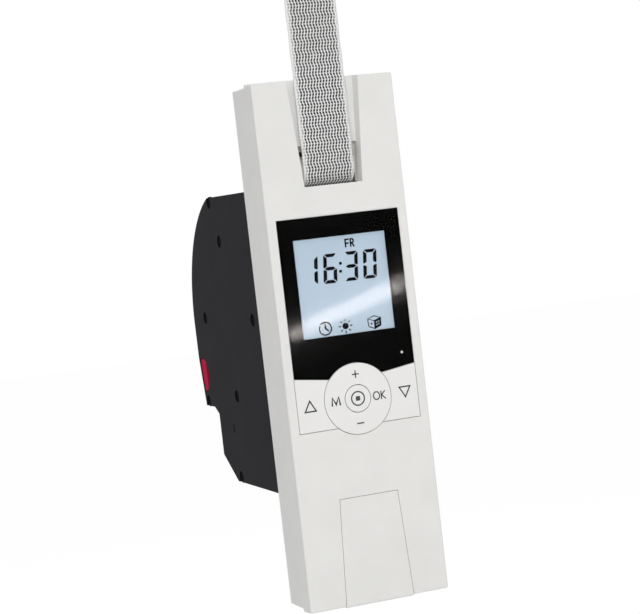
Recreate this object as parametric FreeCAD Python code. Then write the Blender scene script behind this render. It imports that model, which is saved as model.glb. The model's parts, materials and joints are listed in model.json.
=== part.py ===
import FreeCAD
import Part

import math
import os

from FreeCAD import Vector

# Flush-mounted electric belt winder, millimetres.
# X runs across the cover, Y into the wall and Z up. The origin is on the wall
# plane, midway between the two wall screws, so the wall's surface is Y = 0.

# Cover and mounting frame
COVER_W = 63.5
COVER_H = 220.5
COVER_DEPTH = 23.0        # how far the front face stands out of the wall
FRAME_DEPTH = 15.5        # rear part of that depth, taken by the mounting frame
FRAME_SETBACK = 1.2       # the frame is this much shorter than the cover at each end
COVER_DRAFT = 0.5         # each side leans in by this much over the cover's own depth
COVER_WALL = 1.8
COVER_FACE = 2.2
CORNER_R = 0.9
EDGE_R = 0.6
FRAME_WALL = 3.2
FRAME_PLATE = 2.5
LIP_H = 2.6
LAP_GAP = 0.15
WALL_SCREW_SPACING = 185.0
WALL_SCREW_R = 2.25
WALL_SCREW_HEAD_R = 4.2
WALL_SCREW_HEAD_DEPTH = 1.2
WALL_SCREW_PAD = 1.8
SCREW_RIB_T = 1.4
SCREW_RIB_Z = 5.3        # ribs above and below each wall screw
CABLE_HOLE_R = 4.5
CABLE_HOLE_Z = -76.0
CLAMP_DROP = 7.6          # clamp below the cable hole
CLAMP_W = 26.0
CLAMP_H = 5.2
CLAMP_T = 6.0
CLAMP_HOLLOW_R = 3.6
CLAMP_SCREW_X = 9.0
CLAMP_SCREW_R = 1.25
CLAMP_HEAD_R = 2.3
CLAMP_HEAD_H = 1.5
SOCKET_SIDE = 11.25       # socket centre from the cover's side
SOCKET_Z = -82.3
SOCKET_W = 8.0
SOCKET_R = 1.8
SOCKET_BODY_H = 8.5
SOCKET_NOSE_H = 2.5
SOCKET_NOSE_WALL = 1.4

# Belt and its channel in the cover
BELT_W = 23.0
BELT_T = 1.2
BELT_INSET = 3.5          # belt's middle plane behind the cover's front face
BELT_SIDE_GAP = 0.5
BELT_FREE_LENGTH = 140.0
LOOP_LENGTH = 22.0
LOOP_SEAM = 9.0
CHANNEL_DEPTH = 4.8
CHANNEL_TOP_W = 32.0
CHANNEL_SLOT_W = 25.8
CHANNEL_FLOOR_TOP_W = 30.4
SLOT_DROP = 7.2           # slot's lower edge below the roller's axis
SLOT_RISE = 9.9           # its upper edge above the axis

# Deflection roller behind the slot
ROLLER_R = 6.0
ROLLER_W = 24.0
ROLLER_RISE = 5.6         # roller's axis above the winding case
GROOVE_PITCH = 6.0
GROOVE_W = 0.8
GROOVE_DEPTH = 0.4
ROLLER_AXLE_R = 2.0
BELT_GAP = 0.3            # belt to the faces that turn under it
CHEEK_T = 2.0
CHEEK_GAP = 0.6
BRIDGE_T = 1.6
AXLE_END = 0.4
ENCODER_R = 5.4
ENCODER_T = 1.0
ENCODER_GAP = 1.1
ENCODER_SLOTS = 12
ENCODER_SLOT_W = 0.9
ENCODER_SLOT_IN_R = 3.4
SENSOR_H = 4.8
SENSOR_W = 3.4
SENSOR_WALL = 0.3

# Display
PANEL_SIDE = 4.65         # panel's edge in from the cover's side
PANEL_TOP_Z = 52.97
PANEL_LOW_Z = -12.44
PANEL_NOTCH_X = 11.5
PANEL_NOTCH_Z = -14.6
LENS_T = 1.2
LENS_GAP = 0.12
LEDGE_W = 1.2
MASK_T = 0.4
WINDOW_SIDE = 6.65        # window's edge in from the panel's edge
WINDOW_LOW_Z = 3.1
WINDOW_TOP_Z = 44.1
LCD_MARGIN = 2.0
LCD_T = 2.0
LCD_DEPTH = 3.0           # glass front behind the lens front
TRAY_WALL = 1.2
TRAY_GAP = 0.1
TRAY_FLOOR = 0.8
TRAY_LEDGE = 1.5          # glass rests on this much of the tray all round
LED_SIDE = 5.1            # pipe's axis in from the panel's edge
LED_Z = -7.5
LED_R = 0.5
LED_BODY = 2.4
LED_BODY_H = 1.2
LED_GAP = 0.06

# Keys
KEY_LOW_Z = -35.3
KEY_GAP = 0.25
KEY_T = 2.0
KEY_TRAVEL = 0.6
KEY_LIP = 0.9
KEY_LIP_T = 0.85
KEY_WEB_W = 1.6
KEY_RIB_T = 1.0
KEY_RIB_H = 1.2
KEY_SIDE = 5.9            # key's plunger in from the panel's edge
RING_Z = -24.1
RING_R = 14.9
STOP_R = 5.6
STOP_T = 3.0
STOP_GAP = 0.3
PLUNGER_R = 1.4
SWITCH_W = 6.0
SWITCH_H = 2.5
SWITCH_CAP_R = 1.7
SWITCH_CAP_H = 0.5
SWITCH_SPARE = 0.1        # left between a plunger and its switch when pressed home
RING_SWITCH_R = 13.0
RING_TILT = 2.0           # degrees
GIMBAL_IN_R = 8.4
GIMBAL_OUT_R = 11.4
GIMBAL_T = 2.0
GIMBAL_Y = -18.9
PIVOT_R = 0.55
PIVOT_GAP = 0.05
PIVOT_REACH = 1.0         # pivots end this far into the gimbal
LUG_T = 1.5
LUG_CUT = 0.3             # the gimbal's collar and posts stay this much clear
COLLAR_H = 0.8
COLLAR_T = 1.6

# Control board
BOARD_T = 1.6
BOARD_DEPTH = 9.0         # board front behind the cover's front face
BOARD_SIDE_GAP = 2.05     # board's edge to the frame's side wall
BOARD_TOP_GAP = 4.1       # board's edge below the belt slot
BOARD_LOW_Z = -46.0
BOSS_SIDE = 2.9           # boss axis in from the board's side edge
BOSS_END = 4.0            # and from its upper and lower edges
BOSS_R = 2.6
BOARD_SCREW_R = 1.0
BOARD_SCREW_HEAD_R = 2.0
BOARD_SCREW_HEAD_H = 1.3
BOARD_SCREW_L = 4.6       # length of the screw in its boss
SLIT_W = 0.7              # screwdriver slits
SLIT_DEPTH = 0.7

# Service cover
SERVICE_TOP_Z = -64.9
SERVICE_TOP_W = 26.0
SERVICE_LOW_W = 30.6
SERVICE_GAP = 0.2
SERVICE_TONGUE_W = 10.0
SERVICE_TONGUE_H = 3.0
SERVICE_TONGUE_T = 1.2
SERVICE_RIB_X = 8.4

# Winding case, side view in Y and Z
CASE_HALF_W = 21.0
REEL_ROOM = 6.0           # reel flange to the case's rear wall
REEL_HEAD_ROOM = 7.7      # reel flange to the case's top wall
WHEEL_ROOM = 2.0          # reduction gear to the case's lower wall
WHEEL_REAR_ROOM = 6.2     # reduction gear to the step's wall
CASE_ARC_DY = 43.6        # rear arc, from the back wall to the top wall
CASE_ARC_DROP = 2.5       # the arc's lower end below the reel's axis
CASE_BULGE = 12.07        # the arc's height over its chord
CASE_BEND_DY = 0.4        # rear wall's two bends, in from the back
CASE_BEND_DROP = 17.5
CASE_REAR_DY = 4.7
CASE_REAR_DROP = 40.6     # lower end of the rear wall below the arc's end
CASE_STEP_RUN = 6.0
CASE_STEP_DROP = 3.0
CASE_HEEL_DY = 18.7       # sloped heel, in from the step's wall and up from below
CASE_HEEL_DZ = 11.3
CASE_WALL = 2.0
CASE_FLANGE_SIDE = 4.0
CASE_FLANGE_END = 2.6
CASE_FLANGE_T = 2.0
CASE_GAP = 0.4
CASE_LAP = 1.5
LAP_RIM_T = 1.1
CASE_SCREW_R = 1.5
THREAD_GRIP = 0.2         # core of a thread-forming screw inside its nominal radius
CASE_HEAD_R = 2.9
CASE_HEAD_DEPTH = 1.6
CASE_HEAD_H = 1.2
CASE_BOSS_R = 3.4
CASE_SCREW_EDGE = 2.3     # screw's axis in from the wall at each corner
CASE_SCREW_L = 28.4
FRAME_SCREW_SIDE = 2.1    # screw's axis outside the case's side
FRAME_SCREW_Z = 44.0
FRAME_SCREW_R = 1.1
FRAME_SCREW_HEAD_R = 1.8
FRAME_SCREW_HEAD_H = 1.2

# Winding reel
REEL_Y = 77.0
REEL_Z = 10.5
HUB_R = 14.0
HUB_WALL = 2.4
HUB_BOSS_R = 6.6
HUB_SPOKE_T = 1.8
PLATE_L = 20.0            # plate that clamps the belt's end
PLATE_W = 8.0
PLATE_DEPTH = 2.0
PLATE_HOLE_R = 1.1
PLATE_HOLE_X = 6.0
REEL_HALF_W = 12.0
FLANGE_R = 47.0
FLANGE_T = 1.6
COIL_R = 36.0
SHAFT_R = 4.0
RUNNING_GAP = 0.06
HUB_SLACK = 0.5
END_SLACK = 0.1
BEARING_R = 39.5
BEARING_SCREW_R = 36.0
BEARING_T = 2.4
BEARING_BOSS_R = 8.0
BEARING_BOSS_H = 2.2
PRESS_GAP = 0.02
SHAFT_BOSS_R = 7.5
WINDOW_IN_R = 17.5        # sector windows of the reel's discs
WINDOW_OUT_R = 31.0
SPOKE_W = 6.0
SPOKES = 6

# Gear train on the right of the reel
MODULE = 1.0
REEL_TEETH = 84
WHEEL_TEETH = 44
PINION_TEETH = 16
GEAR_W = 2.2
GEAR_LAYER_GAP = 0.5
PRESSURE_ANGLE = 20.0     # degrees
BACKLASH = 0.24
GEAR_AXLE_R = 1.5
GEAR_BOSS_R = 2.5
GEAR_BOSS_H = 11.0
GEAR_STEP = 0.3           # small gear clear of the reel's flange
MOTOR_ANGLE = 190.0       # direction from the reduction gear to the motor
MOTOR_R = 12.0
GEAR_HEAD_L = 14.0
MOTOR_SHAFT_R = 1.5
MOTOR_SHAFT_L = 4.5       # length of the shaft's bearing in the gear head
MOTOR_COLLAR_R = 4.0
MOTOR_CAP_R = 3.6
MOTOR_END_GAP = 1.6
TAG_T = 0.6
TAG_H = 2.0
MOTOR_PLATE_T = 1.5
MOTOR_PLATE = ((-14.5, 16.7), (-1.5, 13.7), (9.0, 6.2), (13.5, -0.3), (13.5, -16.8), (-14.5, -16.8))
MOTOR_SCREWS = ((-11.0, 13.2), (-11.0, -13.3), (9.5, -13.3))
MOTOR_SCREW_R = 1.2
MOTOR_SCREW_HEAD_R = 2.3
MOTOR_SCREW_HEAD_H = 1.4
MOTOR_SCREW_L = 5.0
MOTOR_BOSS_R = 2.2

# Power supply board
POWER_Y = 8.0
POWER_H = 56.0
POWER_LOW_GAP = 2.5       # board's lower edge to the case's wall
POWER_SIDE_GAP = 0.4
RAIL_T = 1.4
CORE_W = 20.0
CORE_H = 14.0
CORE_Z = 36.0             # transformer's middle above the board's lower edge
CORE_X = -5.0
BOBBIN_W = 16.0
BOBBIN_L = 12.0
BOBBIN_H = 16.5
RELAY_W = 10.0
RELAY_L = 17.0
RELAY_H = 12.0
RELAY_Z = 12.5            # relays' and fuse's middle above the board's lower edge
RELAY_X = (-11.0, 1.0)
FUSE_X = 12.0
FUSE_W = 5.0
FUSE_L = 18.0
FUSE_H = 5.5
CAPACITOR_X = 12.2
BIG_CAPACITOR_R = 5.0
BIG_CAPACITOR_H = 13.0
BIG_CAPACITOR_Z = 40.0
SMALL_CAPACITOR_R = 3.0
SMALL_CAPACITOR_H = 9.0
SMALL_CAPACITOR_Z = 27.5
TERMINAL_PITCH = 6.0
TERMINAL_WAYS = 5
TERMINAL_W = 30.8
TERMINAL_H = 9.0
TERMINAL_LOW = 1.0        # block's lower edge above the board's
TERMINAL_L = 11.0
TERMINAL_STEP_L = 4.0
TERMINAL_STEP_H = 3.0
TERMINAL_SCREW_Z = 7.4    # screws' axes above the block's lower edge
TERMINAL_WELL_R = 2.0
TERMINAL_SCREW_R = 1.8
TERMINAL_SCREW_L = 4.5
TERMINAL_SCREW_SUNK = 1.5
WIRE_MOUTH = 3.4

# Packages on the back of the control board: X, Z, width, height, thickness
CHIPS = ((-10.0, 20.0, 12.0, 12.0, 1.6), (9.0, 30.0, 8.0, 6.0, 1.4), (12.0, 8.0, 5.0, 9.0, 2.2),
         (-14.0, -8.0, 9.0, 5.0, 1.8), (3.0, -22.0, 6.0, 6.0, 1.2))
PLUG_W = 18.0
PLUG_H = 5.5
PLUG_L = 6.5
PLUG_Z = -37.25
PLUG_WALL = 0.8
PLUG_PINS = 8
PLUG_PITCH = 2.0
PLUG_PIN = 0.6

# Release lever at the rear left edge, a tab that is pressed in at its rear
LEVER_DY = 6.4            # middle of its window in from the case's back
LEVER_DROP = 8.0          # and below the rear wall's bend
LEVER_WINDOW_R = 8.2
LEVER_RIM = 1.4           # wall left between the window and the case's back
LEVER_POCKET = 5.2
LEVER_GAP = 0.35
LEVER_FRONT_DY = 4.0      # tab's straight front edge, forward of the window's middle
LEVER_T = 2.4
LEVER_SINK = 0.2
LEVER_PIN_DY = 2.8        # pin forward of the window's middle
LEVER_PIN_X = 1.2         # pin's axis in from the case's side
LEVER_PIN_R = 0.5
LEVER_PIN_L = 18.0

# Derived planes and centres
FRONT_Y = -COVER_DEPTH
SPLIT_Y = -FRAME_DEPTH
TOP_Z = COVER_H / 2
BOARD_Y = FRONT_Y + BOARD_DEPTH
BELT_Y = FRONT_Y + BELT_INSET
GEAR_DISTANCE = MODULE * (REEL_TEETH + PINION_TEETH) / 2
MOTOR_DISTANCE = MODULE * (WHEEL_TEETH + PINION_TEETH) / 2
GEAR_Y = REEL_Y
GEAR_Z = REEL_Z - GEAR_DISTANCE
MOTOR_Y = GEAR_Y + MOTOR_DISTANCE * math.cos(math.radians(MOTOR_ANGLE))
MOTOR_Z = GEAR_Z + MOTOR_DISTANCE * math.sin(math.radians(MOTOR_ANGLE))
WHEEL_TIP_R = MODULE * (WHEEL_TEETH + 2) / 2
CASE_IN_X = CASE_HALF_W - CASE_WALL
CASE_TOP_Z = REEL_Z + FLANGE_R + REEL_HEAD_ROOM + CASE_WALL
CASE_LOW_Z = GEAR_Z - WHEEL_TIP_R - WHEEL_ROOM - CASE_WALL
CASE_BACK_Y = REEL_Y + FLANGE_R + REEL_ROOM + CASE_WALL
CASE_BACK_Z = REEL_Z - CASE_ARC_DROP
CASE_TOP_Y = CASE_BACK_Y - CASE_ARC_DY
CASE_BEND_Y = CASE_BACK_Y - CASE_BEND_DY
CASE_BEND_Z = CASE_BACK_Z - CASE_BEND_DROP
CASE_REAR_Y = CASE_BACK_Y - CASE_REAR_DY
CASE_REAR_Z = CASE_BACK_Z - CASE_REAR_DROP
CASE_STEP_Y = GEAR_Y + WHEEL_TIP_R + WHEEL_REAR_ROOM + CASE_WALL
CASE_HEEL_Y = CASE_STEP_Y - CASE_HEEL_DY
CASE_HEEL_Z = CASE_LOW_Z + CASE_HEEL_DZ
FRAME_SCREW_X = CASE_HALF_W + FRAME_SCREW_SIDE
LEVER_Y = CASE_BACK_Y - LEVER_DY
LEVER_Z = CASE_BEND_Z - LEVER_DROP
ROLLER_Z = CASE_TOP_Z + ROLLER_RISE
SLOT_BOTTOM_Z = ROLLER_Z - SLOT_DROP
SLOT_TOP_Z = ROLLER_Z + SLOT_RISE
PANEL_HALF_W = COVER_W / 2 - PANEL_SIDE
WINDOW_W = 2 * (PANEL_HALF_W - WINDOW_SIDE)
LED_X = PANEL_HALF_W - LED_SIDE
KEY_X = PANEL_HALF_W - KEY_SIDE
BOARD_HALF_W = COVER_W / 2 - FRAME_WALL - BOARD_SIDE_GAP
BOARD_TOP_Z = SLOT_BOTTOM_Z - BOARD_TOP_GAP
BOSS_X = BOARD_HALF_W - BOSS_SIDE
BOSS_TOP_Z = BOARD_TOP_Z - BOSS_END
BOSS_LOW_Z = BOARD_LOW_Z + BOSS_END
CLAMP_Z = CABLE_HOLE_Z - CLAMP_DROP
SOCKET_X = COVER_W / 2 - SOCKET_SIDE
POWER_LOW_Z = CASE_LOW_Z + CASE_WALL + POWER_LOW_GAP
POWER_TOP_Z = POWER_LOW_Z + POWER_H
POWER_HALF_W = CASE_IN_X - POWER_SIDE_GAP
TERMINAL_LOW_Z = POWER_LOW_Z + TERMINAL_LOW
ROLLER_Y = BELT_Y + BELT_T / 2 + BELT_GAP + ROLLER_R
FLANGE_Y = -FRAME_PLATE - CASE_FLANGE_T
REEL_GEAR_X = REEL_HALF_W + FLANGE_T
WHEEL_X = REEL_GEAR_X + GEAR_W + GEAR_LAYER_GAP
PLATE_X = REEL_HALF_W + CHEEK_GAP
CHEEK_X = ROLLER_W / 2 + CHEEK_GAP
ENCODER_X = CHEEK_X + CHEEK_T + ENCODER_GAP
KEY_END_Y = BOARD_Y - SWITCH_H - SWITCH_CAP_H - KEY_TRAVEL - SWITCH_SPARE
RING_LIFT = RING_SWITCH_R * math.sin(math.radians(RING_TILT))
RING_END_Y = BOARD_Y - SWITCH_H - SWITCH_CAP_H - RING_LIFT - SWITCH_SPARE
SWITCHES = ((-KEY_X, RING_Z), (KEY_X, RING_Z), (0.0, RING_Z),
            (-RING_SWITCH_R, RING_Z), (RING_SWITCH_R, RING_Z),
            (0.0, RING_Z - RING_SWITCH_R), (0.0, RING_Z + RING_SWITCH_R))

# Screws that clamp the two halves of the case, in Y and Z
CASE_SCREWS = ((CASE_TOP_Y - 1.8, CASE_TOP_Z - CASE_SCREW_EDGE),
               (CASE_REAR_Y - 4.3, CASE_REAR_Z + CASE_SCREW_EDGE),
               (CASE_HEEL_Y - 5.3, CASE_LOW_Z + CASE_SCREW_EDGE))


def block(x0, x1, y0, y1, z0, z1):
    return Part.makeBox(x1 - x0, y1 - y0, z1 - z0, Vector(x0, y0, z0))


def slab(width, y0, y1, z0, z1):
    """Block centred on the middle plane."""
    return block(-width / 2, width / 2, y0, y1, z0, z1)


def rod_x(y, z, r, x0, x1):
    return Part.makeCylinder(r, x1 - x0, Vector(x0, y, z), Vector(1, 0, 0))


def rod_y(x, z, r, y0, y1):
    return Part.makeCylinder(r, y1 - y0, Vector(x, y0, z), Vector(0, 1, 0))


def rod_z(x, y, r, z0, z1):
    return Part.makeCylinder(r, z1 - z0, Vector(x, y, z0), Vector(0, 0, 1))


def prism_x(points, x0, x1):
    """Outline of (y, z) points, run from x0 to x1."""
    corners = [Vector(x0, y, z) for y, z in points]
    face = Part.Face(Part.makePolygon(corners + corners[:1]))
    return face.extrude(Vector(x1 - x0, 0, 0))


def prism_y(points, y0, y1):
    """Outline of (x, z) points, run from y0 to y1."""
    corners = [Vector(x, y0, z) for x, z in points]
    face = Part.Face(Part.makePolygon(corners + corners[:1]))
    return face.extrude(Vector(0, y1 - y0, 0))


def fuse(first, *others):
    return first.fuse(list(others)).removeSplitter()


def mirrored(shape):
    """The same shape on the other side of the middle plane."""
    return shape.mirror(Vector(0, 0, 0), Vector(1, 0, 0))


def save(name, shape):
    if not shape.isValid():
        raise ValueError("invalid solid in " + name)
    shape.exportStep("parts/" + name + ".step")


def rounded_wire(half_w, half_h, r, y):
    """Rounded rectangle in the plane Y = y."""
    edges = []
    for i, (sx, sz) in enumerate(((1, 1), (-1, 1), (-1, -1), (1, -1))):
        cx = sx * (half_w - r)
        cz = sz * (half_h - r)
        a = math.radians(90 * i)
        edges.append([Vector(cx + r * math.cos(a + k * math.pi / 4), y,
                             cz + r * math.sin(a + k * math.pi / 4)) for k in range(3)])
    parts = []
    for i, arc in enumerate(edges):
        parts.append(Part.Arc(*arc).toShape())
        parts.append(Part.makeLine(arc[2], edges[(i + 1) % 4][0]))
    return Part.Wire(parts)


def panel_outline(grow=0.0):
    """Black panel with its lower edge dipping to the ring."""
    w = PANEL_HALF_W + grow
    low = PANEL_LOW_Z - grow
    notch = PANEL_NOTCH_Z - grow
    return [(-w, low), (-PANEL_NOTCH_X, notch), (0.0, notch), (PANEL_NOTCH_X, notch),
            (w, low), (w, PANEL_TOP_Z + grow), (-w, PANEL_TOP_Z + grow)]


def key_outline(grow=0.0):
    """Left key before the ring is cut out of it."""
    w = PANEL_HALF_W + grow
    return [(-w, PANEL_LOW_Z - KEY_GAP + grow), (-PANEL_NOTCH_X, PANEL_NOTCH_Z - KEY_GAP + grow),
            (-STOP_R, PANEL_NOTCH_Z), (-STOP_R, KEY_LOW_Z - grow), (-w, KEY_LOW_Z - grow)]


def case_face(inset):
    """Side outline of the winding case in the plane X = 0, moved in by inset."""
    front = Vector(0, FLANGE_Y, CASE_TOP_Z)
    top = Vector(0, CASE_TOP_Y, CASE_TOP_Z)
    back = Vector(0, CASE_BACK_Y, CASE_BACK_Z)
    outward = Vector(0, top.z - back.z, back.y - top.y).normalize()
    bulge = (top + back) * 0.5 + outward * CASE_BULGE
    corners = [back, Vector(0, CASE_BEND_Y, CASE_BEND_Z), Vector(0, CASE_REAR_Y, CASE_REAR_Z),
               Vector(0, CASE_STEP_Y + CASE_STEP_RUN, CASE_REAR_Z),
               Vector(0, CASE_STEP_Y, CASE_REAR_Z - CASE_STEP_DROP),
               Vector(0, CASE_STEP_Y, CASE_HEEL_Z), Vector(0, CASE_HEEL_Y, CASE_LOW_Z),
               Vector(0, FLANGE_Y, CASE_LOW_Z), front]
    edges = [Part.makeLine(front, top), Part.Arc(top, bulge, back).toShape()]
    edges += [Part.makeLine(a, b) for a, b in zip(corners, corners[1:])]
    face = Part.Face(Part.Wire(edges))
    if inset:
        face = face.makeOffset2D(-inset)
    return face


def case_prism(inset, x0, x1):
    face = case_face(inset)
    face.translate(Vector(x0, 0, 0))
    return face.extrude(Vector(x1 - x0, 0, 0))


def mounting_frame():
    """White frame that is screwed to the wall and carries everything else."""
    half_w = COVER_W / 2
    half_h = TOP_Z - FRAME_SETBACK
    outer = Part.Face(rounded_wire(half_w, half_h, CORNER_R, SPLIT_Y)).extrude(Vector(0, FRAME_DEPTH, 0))
    lip_w = half_w - COVER_DRAFT - COVER_WALL - LAP_GAP
    lip_h = TOP_Z - COVER_DRAFT - COVER_WALL - LAP_GAP
    lip_h = min(lip_h, half_h)
    lip = Part.Face(rounded_wire(lip_w, lip_h, CORNER_R / 2, SPLIT_Y - LIP_H)).extrude(Vector(0, LIP_H, 0))
    hollow = slab(COVER_W - 2 * FRAME_WALL, SPLIT_Y - LIP_H, -FRAME_PLATE,
                  -half_h + FRAME_WALL, half_h - FRAME_WALL)
    window = slab(2 * (CASE_HALF_W + CASE_GAP), -FRAME_PLATE, 0.0,
                  CASE_LOW_Z - CASE_GAP, CASE_TOP_Z + CASE_GAP)
    channel_room = slab(CHANNEL_TOP_W + 2 * (COVER_WALL + LAP_GAP), SPLIT_Y - LIP_H, SPLIT_Y, 0.0, TOP_Z)
    frame = fuse(outer, lip.cut(channel_room)).cut([hollow, window])
    for sign in (-1, 1):
        z = sign * WALL_SCREW_SPACING / 2
        pad = rod_y(0, z, WALL_SCREW_HEAD_R + WALL_SCREW_PAD, -FRAME_PLATE - WALL_SCREW_HEAD_DEPTH,
                    -FRAME_PLATE)
        ribs = [slab(COVER_W - 2 * FRAME_WALL, -FRAME_PLATE - WALL_SCREW_HEAD_DEPTH, -FRAME_PLATE,
                     z + dz - SCREW_RIB_T / 2, z + dz + SCREW_RIB_T / 2)
                for dz in (-SCREW_RIB_Z, SCREW_RIB_Z)]
        frame = fuse(frame, pad, *ribs)
        hole = rod_y(0, z, WALL_SCREW_R, -FRAME_PLATE - WALL_SCREW_HEAD_DEPTH - 1, 0.0)
        sink = rod_y(0, z, WALL_SCREW_HEAD_R, -FRAME_PLATE - WALL_SCREW_HEAD_DEPTH - 1,
                     -FRAME_PLATE)
        frame = frame.cut([hole, sink])
    frame = frame.cut(rod_y(0, CABLE_HOLE_Z, CABLE_HOLE_R, -FRAME_PLATE, 0.0))
    holes = [rod_y(x, z, FRAME_SCREW_R, -FRAME_PLATE, 0.0)
             for x in (-FRAME_SCREW_X, FRAME_SCREW_X) for z in (-FRAME_SCREW_Z, FRAME_SCREW_Z)]
    return frame.cut(holes)


def channel(grow):
    """Belt channel: slanted sides, floor behind the belt, open at the top."""
    depth = CHANNEL_DEPTH + grow
    wires = []
    for y, top_w, low_w in ((FRONT_Y, CHANNEL_TOP_W, CHANNEL_SLOT_W),
                            (FRONT_Y + depth, CHANNEL_FLOOR_TOP_W, CHANNEL_SLOT_W)):
        low_z = SLOT_BOTTOM_Z - grow
        corners = [Vector(-top_w / 2 - grow, y, TOP_Z), Vector(top_w / 2 + grow, y, TOP_Z),
                   Vector(low_w / 2 + grow, y, low_z), Vector(-low_w / 2 - grow, y, low_z)]
        wires.append(Part.makePolygon(corners + corners[:1]))
    return Part.makeLoft(wires, True, True)


def slot_outline():
    """Belt slot, as wide as the channel's floor is at each height."""
    low = CHANNEL_SLOT_W / 2
    share = (SLOT_TOP_Z - SLOT_BOTTOM_Z) / (TOP_Z - SLOT_BOTTOM_Z)
    top = low + (CHANNEL_FLOOR_TOP_W / 2 - low) * share
    return [(-low, SLOT_BOTTOM_Z), (low, SLOT_BOTTOM_Z), (top, SLOT_TOP_Z), (-top, SLOT_TOP_Z)]


def front_cover():
    """White cover: shell, belt channel and slot, panel and key openings, board bosses."""
    half_w = COVER_W / 2
    back = rounded_wire(half_w, TOP_Z, CORNER_R, SPLIT_Y)
    front = rounded_wire(half_w - COVER_DRAFT, TOP_Z - COVER_DRAFT, CORNER_R, FRONT_Y)
    shell = Part.makeLoft([back, front], True, True)
    rim = [e for e in shell.Edges if abs(e.BoundBox.YMax - FRONT_Y) < 1e-6
           and abs(e.BoundBox.YMin - FRONT_Y) < 1e-6]
    shell = shell.makeFillet(EDGE_R, rim)
    inner_w = half_w - COVER_DRAFT - COVER_WALL
    inner_h = TOP_Z - COVER_DRAFT - COVER_WALL
    hollow = Part.Face(rounded_wire(inner_w, inner_h, CORNER_R / 2, FRONT_Y + COVER_FACE))
    hollow = hollow.extrude(Vector(0, COVER_DEPTH, 0))
    tub = channel(COVER_WALL).common(shell)
    cover = fuse(shell.cut(hollow), tub)
    slot = prism_y(slot_outline(), FRONT_Y - 1, FRONT_Y + CHANNEL_DEPTH + COVER_WALL)
    lens_seat = prism_y(panel_outline(LENS_GAP), FRONT_Y - 1, FRONT_Y + LENS_T + MASK_T)
    sight = prism_y(panel_outline(-LEDGE_W), FRONT_Y - 1, FRONT_Y + COVER_FACE)
    sight = sight.fuse(slab(2 * (PANEL_HALF_W - LEDGE_W), FRONT_Y - 1, FRONT_Y + COVER_FACE,
                            RING_Z, 0.0))
    keys = prism_y(key_outline(KEY_GAP), FRONT_Y - 1, FRONT_Y + COVER_FACE)
    ring = rod_y(0, RING_Z, RING_R + KEY_GAP, FRONT_Y - 1, FRONT_Y + COVER_FACE)
    cover = cover.cut([channel(0.0), slot, lens_seat, sight, keys, mirrored(keys), ring])
    service = service_outline(SERVICE_GAP)
    cover = cover.cut(prism_y(service, FRONT_Y - 1, FRONT_Y + COVER_FACE))
    lip_gap = slab(SERVICE_LOW_W + 2 * SERVICE_GAP, FRONT_Y - 1, SPLIT_Y, -TOP_Z - 1,
                   -TOP_Z + COVER_DRAFT + COVER_WALL)
    cover = cover.cut(lip_gap)
    for x, z in board_screw_places():
        boss = rod_y(x, z, BOSS_R, FRONT_Y + COVER_FACE, BOARD_Y)
        cover = fuse(cover, boss).cut(rod_y(x, z, BOARD_SCREW_R, BOARD_Y - BOARD_SCREW_L, BOARD_Y))
    return cover


def board_screw_places():
    return [(x, z) for x in (-BOSS_X, BOSS_X) for z in (BOSS_LOW_Z, BOSS_TOP_Z)]


def service_outline(grow):
    """Trapezoid of the service cover, run a little past the lower edge when it is cut."""
    low_z = -TOP_Z - grow
    top = SERVICE_TOP_W / 2 + grow
    low = SERVICE_LOW_W / 2 + grow
    return [(-top, SERVICE_TOP_Z + grow), (top, SERVICE_TOP_Z + grow), (low, low_z), (-low, low_z)]


def service_cover():
    """Plate that closes the service bay, hooked behind the face at its top edge."""
    plate = prism_y(service_outline(0.0), FRONT_Y, FRONT_Y + COVER_FACE)
    lip = slab(SERVICE_LOW_W - 2 * SERVICE_GAP, FRONT_Y, SPLIT_Y - SERVICE_GAP,
               -TOP_Z, -TOP_Z + COVER_WALL)
    back_y = FRONT_Y + COVER_FACE
    root_y = FRONT_Y + COVER_FACE / 2
    tongue_y = back_y + SERVICE_GAP + SERVICE_TONGUE_T
    tongue_low = SERVICE_TOP_Z - 2 * SERVICE_TONGUE_H
    tongue = slab(SERVICE_TONGUE_W, back_y + SERVICE_GAP, tongue_y, tongue_low,
                  SERVICE_TOP_Z + SERVICE_TONGUE_H)
    root = slab(SERVICE_TONGUE_W, root_y, tongue_y, tongue_low, SERVICE_TOP_Z - SERVICE_TONGUE_T)
    rib = block(SERVICE_RIB_X, SERVICE_RIB_X + SERVICE_TONGUE_T, root_y, back_y + COVER_WALL,
                -TOP_Z + COVER_WALL / 2, tongue_low - SERVICE_TONGUE_H)
    plate = fuse(plate, lip, tongue, root, rib, mirrored(rib))
    bevel = prism_x([(FRONT_Y, -TOP_Z), (FRONT_Y + EDGE_R, -TOP_Z), (FRONT_Y, -TOP_Z + EDGE_R)],
                    -COVER_W, COVER_W)
    return plate.cut(bevel)


def display_lens():
    """Clear front plate of the display, seated on the cover's ledge."""
    lens = prism_y(panel_outline(), FRONT_Y, FRONT_Y + LENS_T)
    ring = rod_y(0, RING_Z, RING_R + KEY_GAP, FRONT_Y - 1, FRONT_Y + LENS_T + 1)
    led = rod_y(LED_X, LED_Z, LED_R + LED_GAP, FRONT_Y - 1, FRONT_Y + LENS_T + 1)
    return lens.cut([ring, led])


def display_mask():
    """Black sheet behind the lens with the window for the glass."""
    y0 = FRONT_Y + LENS_T
    mask = prism_y(panel_outline(), y0, y0 + MASK_T)
    ring = rod_y(0, RING_Z, RING_R + KEY_GAP, y0 - 1, y0 + MASK_T + 1)
    led = rod_y(LED_X, LED_Z, LED_R + LED_GAP, y0 - 1, y0 + MASK_T + 1)
    window = slab(WINDOW_W, y0 - 1, y0 + MASK_T + 1, WINDOW_LOW_Z, WINDOW_TOP_Z)
    return mask.cut([ring, led, window])


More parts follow.
